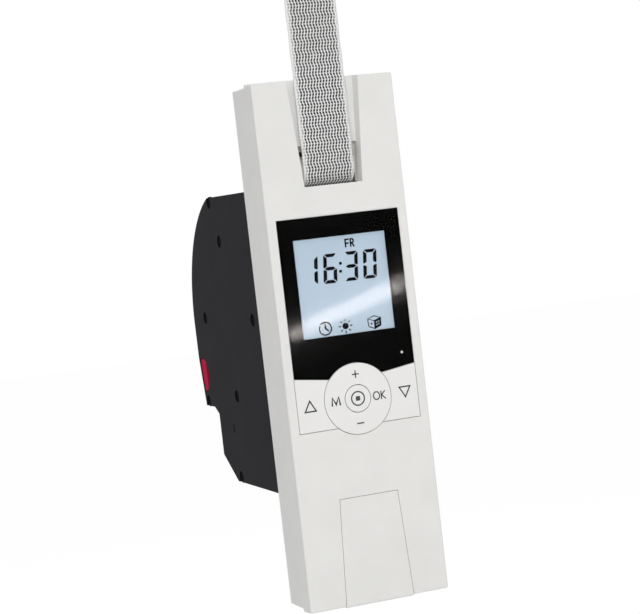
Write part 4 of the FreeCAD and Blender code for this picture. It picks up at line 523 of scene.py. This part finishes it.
class Print:
    """Collects flat printed shapes on one plane and makes one thin solid of them."""

    def __init__(self, y):
        self.y = y
        self.verts = []
        self.faces = []

    def area(self, outline):
        """Filled convex outline of (x, z) points in millimetres."""
        base = len(self.verts)
        count = len(outline)
        for y in (self.y - PRINT_T, self.y):
            self.verts += [(x * MM, y, z * MM) for x, z in outline]
        self.faces.append([base + i for i in range(count)])
        self.faces.append([base + count + i for i in reversed(range(count))])
        for i in range(count):
            j = (i + 1) % count
            self.faces.append([base + i, base + j, base + count + j, base + count + i])

    def stroke(self, points, width, closed=False):
        """Line of that width through (x, z) points in millimetres."""
        left = offset_points(points, width / 2, closed)
        right = offset_points(points, -width / 2, closed)
        count = len(points)
        base = len(self.verts)
        for y in (self.y - PRINT_T, self.y):
            self.verts += [(x * MM, y, z * MM) for x, z in left + right]
        top = 2 * count
        steps = count if closed else count - 1
        for i in range(steps):
            j = (i + 1) % count
            self.faces.append([base + i, base + j, base + count + j, base + count + i])
            self.faces.append([base + top + i, base + top + count + i, base + top + count + j,
                               base + top + j])
            self.faces.append([base + i, base + top + i, base + top + j, base + j])
            self.faces.append([base + count + i, base + count + j, base + top + count + j,
                               base + top + count + i])
        if not closed:
            for i in (0, count - 1):
                self.faces.append([base + i, base + count + i, base + top + count + i, base + top + i])

    def circle(self, cx, cz, radius, width=None, sides=40):
        """Disc, or a ring of that line width."""
        ring = arc_points(cx, cz, radius, 0.0, 360.0, sides)[:-1]
        if width is None:
            self.area(ring)
        else:
            self.stroke(ring, width, True)

    def make(self, name, material, body):
        new_piece(name, self.verts, self.faces, material, body)


def arc_points(cx, cz, radius, start, end, steps, squeeze=1.0):
    """Points along an arc, its angles in degrees and its width squeezed."""
    return [(cx + squeeze * radius * math.cos(math.radians(start + (end - start) * i / steps)),
             cz + radius * math.sin(math.radians(start + (end - start) * i / steps)))
            for i in range(steps + 1)]


# Signs on the ring key, in millimetres from its centre: points, line width, closed
LETTER_O = arc_points(8.4, 0.0, 1.62, 0, 360, 28, 0.86)[:-1]
RING_SIGNS = (
    (((-1.55, 10.2), (1.55, 10.2)), 0.5, False),
    (((0.0, 8.65), (0.0, 11.75)), 0.5, False),
    (((-1.6, -10.4), (1.6, -10.4)), 0.55, False),
    (((-11.7, -1.75), (-11.35, 1.75), (-9.9, -1.25), (-8.45, 1.75), (-8.1, -1.75)), 0.72, False),
    (LETTER_O, 0.48, True),
    (((10.55, -1.75), (10.55, 1.75)), 0.5, False),
    (((12.35, 1.75), (10.75, 0.0), (12.5, -1.75)), 0.48, False),
)
STOP_RING_R = 2.85
STOP_RING_LINE = 0.58
STOP_RING_SIDES = 56
STOP_SQUARE = 0.95        # half of its side
ARROW_X = 21.4
ARROW_HALF_W = 2.45
ARROW_LINE = 0.55
# Name, body and place of each arrow, then its base and tip from the ring's centre
ARROWS = (
    ("up_sign", "left_key", -ARROW_X, -2.6, 1.8),
    ("down_sign", "right_key", ARROW_X, 2.05, -2.3),
)


def key_marks():
    """Printed signs on the keys: plus, minus, M, OK, stop sign and two arrows."""
    z0 = RING_Z / MM
    signs = Print(FRONT_Y)
    for points, width, closed in RING_SIGNS:
        signs.stroke([(x, z0 + z) for x, z in points], width, closed)
    signs.make("ring_signs", INK, "ring_key")

    stop = Print(FRONT_Y)
    stop.circle(0, z0, STOP_RING_R, STOP_RING_LINE, STOP_RING_SIDES)
    stop.area([(x * STOP_SQUARE, z0 + z * STOP_SQUARE) for x, z in SQUARE])
    stop.make("stop_sign", INK_SOFT, "centre_key")

    for name, body, x, base, tip in ARROWS:
        arrow = Print(FRONT_Y)
        arrow.stroke([(x - ARROW_HALF_W, z0 + base), (x + ARROW_HALF_W, z0 + base), (x, z0 + tip)],
                     ARROW_LINE, True)
        arrow.make(name, INK, body)


LATCH_Y = 74.2 * MM       # middle of the small latch slot on the case's left side
LATCH_Z = -39.9 * MM
LATCH_W = 1.6 * MM
LATCH_H = 3.6 * MM


def latch_slot_painted_shade():
    """Thin dark sheet on the case's left side: painted shade in the mouth of its latch slot."""
    corners = [(LATCH_Y + y * LATCH_W / 2, LATCH_Z + z * LATCH_H / 2) for y, z in SQUARE]
    verts = [(x, y, z) for x in (CASE_SIDE_X - PRINT_T, CASE_SIDE_X) for y, z in corners]
    faces = [(0, 1, 2, 3), (7, 6, 5, 4)]
    faces += [(i, i + 4, (i + 1) % 4 + 4, (i + 1) % 4) for i in range(4)]
    new_piece("latch_slot_painted_shade", verts, faces, SCREW_BLACK_AND_SHADE, "unit")


# Segments of a digit, as corners in a 1 by 2 cell
SEGMENTS = {
    "a": [(0.08, 1.96), (0.14, 2.0), (0.86, 2.0), (0.92, 1.96), (0.73, 1.77), (0.27, 1.77)],
    "b": [(0.97, 1.93), (1.0, 1.86), (1.0, 1.10), (0.94, 1.04), (0.74, 1.15), (0.74, 1.71)],
    "c": [(1.0, 0.90), (1.0, 0.14), (0.97, 0.07), (0.74, 0.29), (0.74, 0.85), (0.94, 0.96)],
    "d": [(0.08, 0.04), (0.27, 0.23), (0.73, 0.23), (0.92, 0.04), (0.86, 0.0), (0.14, 0.0)],
    "e": [(0.0, 0.90), (0.06, 0.96), (0.26, 0.85), (0.26, 0.29), (0.03, 0.07), (0.0, 0.14)],
    "f": [(0.03, 1.93), (0.26, 1.71), (0.26, 1.15), (0.06, 1.04), (0.0, 1.10), (0.0, 1.86)],
    "g": [(0.10, 1.0), (0.29, 1.12), (0.71, 1.12), (0.90, 1.0), (0.71, 0.88), (0.29, 0.88)],
}
DIGIT_SEGMENTS = {"1": "bc", "6": "acdefg", "3": "abcdg", "0": "abcdef"}

# Signs on the display, in millimetres
DIGIT_W = 6.1
DIGIT_H = 12.3
DIGIT_LOW_Z = 24.8
DIGIT_LEAN = 0.09         # sideways, as a share of the height
DIGITS = (("1", -17.0), ("6", -8.4), ("3", 1.0), ("0", 9.5))
DOT_SIDES = 16
COLON_X = -0.75
COLON_Z = (29.3, 32.6)
COLON_R = 0.68
WEEKDAY = (
    (((3.15, 38.9), (3.15, 42.2), (4.8, 42.2)), 0.70),
    (((3.4, 40.6), (4.65, 40.6)), 0.66),
    (((5.45, 38.9), (5.45, 42.2), (6.35, 42.2), (6.75, 41.8), (6.75, 41.05), (6.35, 40.65),
      (5.7, 40.65)), 0.68),
    (((6.05, 40.5), (6.95, 38.9)), 0.70),
)
CLOCK = (-9.9, 6.4)
CLOCK_R = 2.65
CLOCK_LINE = 0.6
CLOCK_SIDES = 48
HANDS = ((-9.9, 8.2), (-9.9, 6.5), (-8.5, 5.3))
HANDS_LINE = 0.76
SUN = (-0.9, 6.4)
SUN_R = 1.4
RAY_COUNT = 8
RAY_REACH = (2.0, 3.05)
RAY_LINE = 0.56
DIE = (12.2, 6.35)


def lcd_signs():
    """Shown segments of the display: time, weekday, clock, sun and die."""
    marks = Print(GLASS_LO.y)
    for digit, left in DIGITS:
        for segment in DIGIT_SEGMENTS[digit]:
            marks.area([(left + x * DIGIT_W + DIGIT_LEAN * z * DIGIT_H / 2,
                         DIGIT_LOW_Z + z * DIGIT_H / 2) for x, z in SEGMENTS[segment]])
    for z in COLON_Z:
        marks.circle(DIGIT_LEAN * (z - DIGIT_LOW_Z) + COLON_X, z, COLON_R, sides=DOT_SIDES)
    for points, width in WEEKDAY:
        marks.stroke(points, width)
    marks.circle(*CLOCK, CLOCK_R, CLOCK_LINE, CLOCK_SIDES)
    marks.stroke(HANDS, HANDS_LINE)
    marks.circle(*SUN, SUN_R)
    for i in range(RAY_COUNT):
        a = 2 * math.pi * i / RAY_COUNT
        ray = [(SUN[0] + r * math.cos(a), SUN[1] + r * math.sin(a)) for r in RAY_REACH]
        marks.stroke(ray, RAY_LINE)
    die(marks, *DIE)
    marks.make("lcd_signs", SEGMENT, "unit")


# Die: its corners from its centre, its lines and its left pip, in millimetres, then what is filled
# of its right face as shares of the face: bars, and bridges across the gaps between them
DIE_HALF_W = 2.9
DIE_HALF_H = 2.7
DIE_LOW_HALF_W = 2.75
DIE_SHOULDER_Z = 1.7
DIE_MIDDLE_Z = 0.6
DIE_FOOT_Z = -1.5
DIE_LINE = 0.42
DIE_FACE_LINE = 0.46
DIE_PIP = (-1.35, -0.45)
DIE_PIP_R = 0.42
DIE_BARS = ((0.0, 0.25), (0.42, 0.60), (0.77, 1.0))
DIE_GAPS = ((0.25, 0.42), (0.60, 0.77))
DIE_BRIDGES = ((0.0, 0.24), (0.41, 0.59), (0.76, 1.0))


def die(marks, cx, cz):
    """Small cube seen from a corner, with a pip on its left side and four on its right."""
    top = (cx, cz + DIE_HALF_H)
    left_up = (cx - DIE_HALF_W, cz + DIE_SHOULDER_Z)
    right_up = (cx + DIE_HALF_W, cz + DIE_SHOULDER_Z)
    middle = (cx, cz + DIE_MIDDLE_Z)
    left_low = (cx - DIE_LOW_HALF_W, cz + DIE_FOOT_Z)
    right_low = (cx + DIE_LOW_HALF_W, cz + DIE_FOOT_Z)
    low = (cx, cz - DIE_HALF_H)
    marks.stroke([left_up, top, right_up, middle], DIE_LINE, True)
    marks.stroke([left_up, left_low, low, middle], DIE_LINE)
    marks.circle(cx + DIE_PIP[0], cz + DIE_PIP[1], DIE_PIP_R, sides=DOT_SIDES)
    marks.stroke([middle, right_up, right_low, low], DIE_FACE_LINE, True)
    face = (middle, right_up, low, right_low)
    for across in DIE_BARS:
        face_cell(marks, face, across, (0.0, 1.0))
    for across in DIE_GAPS:
        for down in DIE_BRIDGES:
            face_cell(marks, face, across, down)


def face_cell(marks, face, across, down):
    """Fills a face between two shares of its width and two of its height."""
    cell = ((across[0], down[0]), (across[1], down[0]), (across[1], down[1]), (across[0], down[1]))
    marks.area([on_face(*face, t, s) for t, s in cell])


def on_face(a, b, c, d, t, s):
    """Point at share t across and s down the face with corners a, b over c, d."""
    upper = (a[0] + (b[0] - a[0]) * t, a[1] + (b[1] - a[1]) * t)
    lower = (c[0] + (d[0] - c[0]) * t, c[1] + (d[1] - c[1]) * t)
    return (upper[0] + (lower[0] - upper[0]) * s, upper[1] + (lower[1] - upper[1]) * s)


# Relief of the weave, as shares of its depth
SELVEDGE_LEVEL = 0.55
SELVEDGE_RIPPLE = 0.25
COLUMN_LEVEL = 0.15
COLUMN_BULGE = 0.65
COLUMN_RIPPLE = 0.2

# Outline of the belt's edges: level, ripple and drift are shares of its half width
EDGE_LEVEL = 0.978
EDGE_RIPPLE = 0.012
EDGE_DRIFT = 0.010
EDGE_DRIFT_PERIODS = 3.1  # length of the drift, in periods of the weave
EDGE_SHIFT = 0.7          # of the right edge, in radians
EDGE_ROUND_W = 0.35 * MM
EDGE_ROUND_DROP = 0.28 * MM
BELT_STEP = 0.32 * MM


def weave_height(u, v):
    """Height of the weave at u across and v along, between 0 and 1."""
    if BELT_HALF_W - abs(u) < WEAVE_EDGE:
        turn = math.cos(2 * math.pi * WEAVE_STEPS * v / WEAVE_PERIOD)
        return SELVEDGE_LEVEL + SELVEDGE_RIPPLE * turn
    turns = v / WEAVE_PERIOD
    swing = abs((turns + 0.5) % 1.0 - 0.5) * 4 * WEAVE_SWING
    column = u / WEAVE_PITCH + swing
    gap = abs(column % 1.0 - 0.5)
    bulge = math.sqrt(max(0.0, 1.0 - (1.0 - 2 * gap) ** 2))
    ripple = COLUMN_RIPPLE * math.cos(2 * math.pi * WEAVE_STEPS * turns) * bulge
    return COLUMN_LEVEL + COLUMN_BULGE * bulge + ripple


def ragged(v, right):
    """Share of the half width that the belt has at v, with the weft's turns at its edge."""
    shift = EDGE_SHIFT if right else 0.0
    turn = math.cos(2 * math.pi * WEAVE_STEPS * v / WEAVE_PERIOD + shift)
    slow = math.cos(2 * math.pi * v / (EDGE_DRIFT_PERIODS * WEAVE_PERIOD) + 2 * shift)
    return EDGE_LEVEL + EDGE_RIPPLE * turn + EDGE_DRIFT * slow


def resample(points, step):
    """Points every step along a polyline, with the length reached at each.

    A rest shorter than a tenth of a step is left out.
    """
    out = [(points[0], 0.0)]
    travelled = 0.0
    want = step
    for a, b in zip(points, points[1:]):
        length = math.dist(a, b)
        while travelled + length >= want:
            t = (want - travelled) / length
            out.append(((a[0] + (b[0] - a[0]) * t, a[1] + (b[1] - a[1]) * t), want))
            want += step
        travelled += length
    if travelled - out[-1][1] > step / 10:
        out.append((points[-1], travelled))
    return out


def belt_strip(name, path, start_v=0.0):
    """Woven strip along (y, z) points in metres; its weave starts at start_v."""
    stations = resample(path, BELT_STEP)
    columns = round(2 * BELT_HALF_W / BELT_STEP)
    verts = []
    marks = []
    for i, ((y, z), v) in enumerate(stations):
        before = stations[max(i - 1, 0)][0]
        after = stations[min(i + 1, len(stations) - 1)][0]
        length = math.dist(before, after)
        ny = -(after[1] - before[1]) / length
        nz = (after[0] - before[0]) / length
        for side in (1, -1):
            for k in range(columns + 1):
                u = -BELT_HALF_W + 2 * BELT_HALF_W * k / columns
                near_edge = min(1.0, (BELT_HALF_W - abs(u)) / EDGE_ROUND_W)
                u *= ragged(v + start_v, u > 0)
                reach = BELT_T / 2 - WEAVE_DEPTH * (1 - weave_height(u, v + start_v))
                reach -= (1 - near_edge) * EDGE_ROUND_DROP
                verts.append((u, y + side * ny * reach, z + side * nz * reach))
                marks.append((u, v + start_v))
    width = columns + 1
    row = 2 * width
    faces = []
    for i in range(len(stations) - 1):
        a = i * row
        b = a + row
        for k in range(columns):
            faces.append((a + k, a + k + 1, b + k + 1, b + k))
            faces.append((a + width + k, b + width + k, b + width + k + 1, a + width + k + 1))
        faces.append((a, b, b + width, a + width))
        faces.append((a + columns, a + width + columns, b + width + columns, b + columns))
    for a in (0, (len(stations) - 1) * row):
        for k in range(columns):
            faces.append((a + k, a + width + k, a + width + k + 1, a + k + 1))
    obj = new_piece(name, verts, faces, MATERIALS["belt"], "unit")
    layer = obj.data.uv_layers.new(name="weave")
    for loop in obj.data.loops:
        layer.data[loop.index].uv = marks[loop.vertex_index]
    for polygon in obj.data.polygons:
        polygon.use_smooth = True
    return obj


TURN_STEPS = 60           # on the deflection roller
RUN_END_GAP = 0.4 * MM    # between the inner run's end and that of its node


def belt():
    """Free stretch, sewn loop, and the run round the roller to the reel."""
    top = FREE_HI.z
    low = FREE_LO.z
    free = belt_strip("woven_belt", [(BELT_Y, low), (BELT_Y, top)])
    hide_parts("belt_free")
    loop = belt_loop(top, top - low)
    radius = ROLLER_Y - BELT_Y
    reach = math.dist((ROLLER_Y, ROLLER_Z), (COIL_Y, COIL_Z))
    slope = math.atan2(COIL_Z - ROLLER_Z, COIL_Y - ROLLER_Y)
    slope += math.asin((radius + COIL_R + BELT_T) / reach)
    turn_end = slope - math.pi / 2 + 2 * math.pi
    turn = [math.pi + (turn_end - math.pi) * i / TURN_STEPS for i in range(TURN_STEPS + 1)]
    run_path = [(ROLLER_Y + radius * math.cos(a), ROLLER_Z + radius * math.sin(a)) for a in turn]
    y, z = run_path[-1]
    straight = (RUN_END_Y - RUN_END_GAP - y) / math.cos(slope)
    run_path.append((y + straight * math.cos(slope), z + straight * math.sin(slope)))
    run = belt_strip("belt_inner_run", run_path)
    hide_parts("belt_run")


LOOP_SEAM = 9.0 * MM
LOOP_TAIL = 0.6 * MM      # folded end's height above the start of the seam
EYE_DROP = 3.0            # eye's centre below the loop's top, in belt thicknesses
EYE_R = 2.4               # in belt thicknesses
EYE_ARC = (190, -10)      # in degrees
EYE_STEPS = 24


def belt_loop(top, start_v):
    """Belt's end folded over and sewn to itself."""
    seam_z = top + LOOP_SEAM
    back_y = BELT_Y + BELT_T
    eye = arc_points((BELT_Y + BELT_T / 2) / MM, (LOOP_TOP_Z - EYE_DROP * BELT_T) / MM,
                     EYE_R * BELT_T / MM, *EYE_ARC, EYE_STEPS)
    path = [(BELT_Y, top), (BELT_Y, seam_z)]
    path += [(y * MM, z * MM) for y, z in eye]
    path += [(back_y, seam_z), (back_y, top + LOOP_TAIL)]
    loop = belt_strip("belt_loop_sewn", path, start_v)
    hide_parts("belt_loop")
    stitches(loop, top, seam_z, back_y)
    return loop


STITCH_COUNT = 9
STITCH_LOW = 2.6 * MM     # rows in from the seam's lower and upper end
STITCH_HIGH = 2.2 * MM
STITCH_MARGIN = 2.4 * MM  # both sides together
STITCH_HALF_L = 0.8 * MM
STITCH_R_Y = 0.16 * MM
STITCH_R_Z = 0.22 * MM
STITCH_SINK = 0.05 * MM
STITCH_SIDES = 6


def stitches(loop, top, seam_z, back_y):
    """Two rows of thread across the seam of the loop."""
    verts = []
    faces = []
    sides = range(STITCH_SIDES)
    for z in (top + STITCH_LOW, seam_z - STITCH_HIGH):
        for i in range(STITCH_COUNT):
            x = (-0.5 + (i + 0.5) / STITCH_COUNT) * (2 * BELT_HALF_W - STITCH_MARGIN)
            for y in (BELT_Y - BELT_T / 2 + STITCH_SINK, back_y + BELT_T / 2 - STITCH_SINK):
                base = len(verts)
                for dx in (-STITCH_HALF_L, STITCH_HALF_L):
                    for k in sides:
                        a = 2 * math.pi * k / STITCH_SIDES
                        verts.append((x + dx, y + STITCH_R_Y * math.cos(a),
                                      z + STITCH_R_Z * math.sin(a)))
                far = base + STITCH_SIDES
                for k in sides:
                    j = (k + 1) % STITCH_SIDES
                    faces.append((base + k, base + j, far + j, far + k))
                faces.append(tuple(base + k for k in sides))
                faces.append(tuple(far + k for k in reversed(sides)))
    thread = plastic("thread_white", (0.72, 0.72, 0.70), 0.8, 3000.0, 0.02 * MM, 0.05)
    piece = new_piece("loop_stitches", verts, faces, thread, "unit")
    piece.parent = loop
    piece.matrix_parent_inverse = Matrix.Identity(4)


# Camera of the photograph, in metres; its lens and sensor are in millimetres
CAMERA_PLACE = Vector((-0.27905, -0.7472, 0.05452))
CAMERA_FORWARD = Vector((0.34535, 0.93714, -0.05012))
CAMERA_UP = Vector((0.12328, 0.00765, 0.99234))
CAMERA_LENS = 105.14
CAMERA_SENSOR = 36.0
CAMERA_NEAR = 0.01
CAMERA_FAR = 50.0


def camera():
    data = bpy.data.cameras.new("camera")
    data.sensor_width = CAMERA_SENSOR
    data.sensor_fit = "HORIZONTAL"
    data.lens = CAMERA_LENS
    data.clip_start = CAMERA_NEAR
    data.clip_end = CAMERA_FAR
    obj = new_object("camera", data)
    forward = CAMERA_FORWARD.normalized()
    right = forward.cross(CAMERA_UP).normalized()
    up = right.cross(forward)
    turn = Matrix((right, up, -forward)).transposed()
    obj.matrix_world = Matrix.Translation(CAMERA_PLACE) @ turn.to_4x4()
    bpy.context.scene.camera = obj


def seen_directly(nodes, links):
    """1 for camera, glossy and transmission rays, 0 for the rays that light the object."""
    rays = add(nodes, "ShaderNodeLightPath").outputs
    seen = math_node(nodes, links, "ADD", rays["Is Camera Ray"], rays["Is Transmission Ray"])
    return math_node(nodes, links, "ADD", seen, rays["Is Glossy Ray"], True)


WORLD_COLOR = (1.0, 0.995, 0.99, 1)
WORLD_STRENGTH = 0.36


def world():
    """Soft light for the object, plain white where it is seen."""
    scene_world = bpy.data.worlds.new("studio")
    bpy.context.scene.world = scene_world
    scene_world.use_nodes = True
    nodes = scene_world.node_tree.nodes
    links = scene_world.node_tree.links
    nodes.clear()
    light = add(nodes, "ShaderNodeBackground", in_Color=WORLD_COLOR, in_Strength=WORLD_STRENGTH)
    white = add(nodes, "ShaderNodeBackground", in_Color=(1, 1, 1, 1), in_Strength=1.0)
    mix = add(nodes, "ShaderNodeMixShader")
    links.new(seen_directly(nodes, links), mix.inputs["Fac"])
    links.new(light.outputs[0], mix.inputs[1])
    links.new(white.outputs[0], mix.inputs[2])
    out = add(nodes, "ShaderNodeOutputWorld")
    links.new(mix.outputs[0], out.inputs["Surface"])


FLOOR_Z = -0.42
FLOOR_HALF = 6.0
FLOOR_COLOR = (0.86, 0.86, 0.86, 1)
FLOOR_ROUGH = 0.9
FLOOR_WHITE = 0.985       # share of plain white where it is seen; the rest takes shadow


def floor():
    """Plain pale floor well below the wall-mounted unit."""
    mesh = bpy.data.meshes.new("floor")
    corners = [(x * FLOOR_HALF, y * FLOOR_HALF, FLOOR_Z) for x, y in SQUARE]
    mesh.from_pydata(corners, [], [(0, 1, 2, 3)])
    obj = new_object("floor", mesh)
    mat, nodes, links, shader = principled("floor_white")
    shader.inputs["Base Color"].default_value = FLOOR_COLOR
    shader.inputs["Roughness"].default_value = FLOOR_ROUGH
    glow = add(nodes, "ShaderNodeEmission")
    mix = add(nodes, "ShaderNodeMixShader")
    share = math_node(nodes, links, "MULTIPLY", seen_directly(nodes, links), FLOOR_WHITE)
    links.new(share, mix.inputs["Fac"])
    links.new(shader.outputs[0], mix.inputs[1])
    links.new(glow.outputs[0], mix.inputs[2])
    links.new(mix.outputs[0], nodes["Material Output"].inputs["Surface"])
    mesh.materials.append(mat)


# Lamp strip whose mirror image crosses the display as a soft slanting streak
STRIP_CENTRE = Vector((0.3356, -0.90, -0.0364))
STRIP_SLOPE = 0.295
STRIP_LENGTH = 0.50
STRIP_HEIGHT = 0.021
STRIP_STRENGTH = 106.0
STRIP_COLOR = (1.0, 0.94, 0.92, 1)
STRIP_FADE_END = 0.5      # from its middle line, in heights
STRIP_FADE_START = 0.05


def lamp_strip():
    """Soft-edged strip lamp that camera and diffuse rays don't see."""
    along = Vector((1.0, 0.0, STRIP_SLOPE)).normalized() * (STRIP_LENGTH / 2)
    across = Vector((-STRIP_SLOPE, 0.0, 1.0)).normalized() * (STRIP_HEIGHT / 2)
    corners = [STRIP_CENTRE - along - across, STRIP_CENTRE + along - across,
               STRIP_CENTRE + along + across, STRIP_CENTRE - along + across]
    mesh = bpy.data.meshes.new("lamp_strip")
    mesh.from_pydata(corners, [], [(0, 1, 2, 3)])
    layer = mesh.uv_layers.new(name="strip")
    for loop, uv in zip(mesh.loops, ((0, 0), (1, 0), (1, 1), (0, 1))):
        layer.data[loop.index].uv = uv
    obj = new_object("lamp_strip", mesh)
    mat, nodes, links, _ = principled("lamp_strip")
    nodes.clear()
    uv = add(nodes, "ShaderNodeUVMap", uv_map="strip")
    split = add(nodes, "ShaderNodeSeparateXYZ")
    links.new(uv.outputs["UV"], split.inputs["Vector"])
    from_middle = math_node(nodes, links, "SUBTRACT", split.outputs["Y"], 0.5)
    from_middle = math_node(nodes, links, "ABSOLUTE", from_middle)
    fade = add(nodes, "ShaderNodeMapRange", interpolation_type="SMOOTHERSTEP",
               in_From_Min=STRIP_FADE_END, in_From_Max=STRIP_FADE_START)
    links.new(from_middle, fade.inputs["Value"])
    glow = add(nodes, "ShaderNodeEmission", in_Color=STRIP_COLOR)
    strength = math_node(nodes, links, "MULTIPLY", fade.outputs["Result"], STRIP_STRENGTH)
    links.new(strength, glow.inputs["Strength"])
    clear = add(nodes, "ShaderNodeBsdfTransparent")
    mix = add(nodes, "ShaderNodeMixShader")
    links.new(fade.outputs["Result"], mix.inputs["Fac"])
    links.new(clear.outputs[0], mix.inputs[1])
    links.new(glow.outputs[0], mix.inputs[2])
    out = add(nodes, "ShaderNodeOutputMaterial")
    links.new(mix.outputs[0], out.inputs["Surface"])
    mesh.materials.append(mat)
    obj.visible_camera = False
    obj.visible_diffuse = False
    obj.visible_shadow = False


# Square area lamps: place and target in metres, side in metres, power in watts
LAMPS = (
    ("key_light", (-0.8, -1.8, 1.0), (0.0, 0.0, 0.0), 1.6, 25.0),
    ("fill_light", (1.4, -1.3, 0.1), (0.0, 0.05, 0.0), 1.2, 3.0),
    ("top_light", (0.2, 0.2, 1.6), (0.0, 0.0, 0.0), 1.2, 6.0),
    ("back_light", (0.9, 1.6, 0.5), (0.0, 0.0, 0.0), 1.4, 18.0),
)


def lights():
    for name, place, target, side, power in LAMPS:
        data = bpy.data.lights.new(name, "AREA")
        data.shape = "RECTANGLE"
        data.size = side
        data.size_y = side
        data.energy = power
        obj = new_object(name, data)
        place = Vector(place)
        aim = (Vector(target) - place).to_track_quat("-Z", "Y")
        obj.matrix_world = Matrix.Translation(place) @ aim.to_matrix().to_4x4()


bpy.context.scene.view_settings.view_transform = "Standard"
dress_nodes()
key_marks()
lcd_signs()
latch_slot_painted_shade()
belt()
camera()
world()
floor()
lamp_strip()
lights()
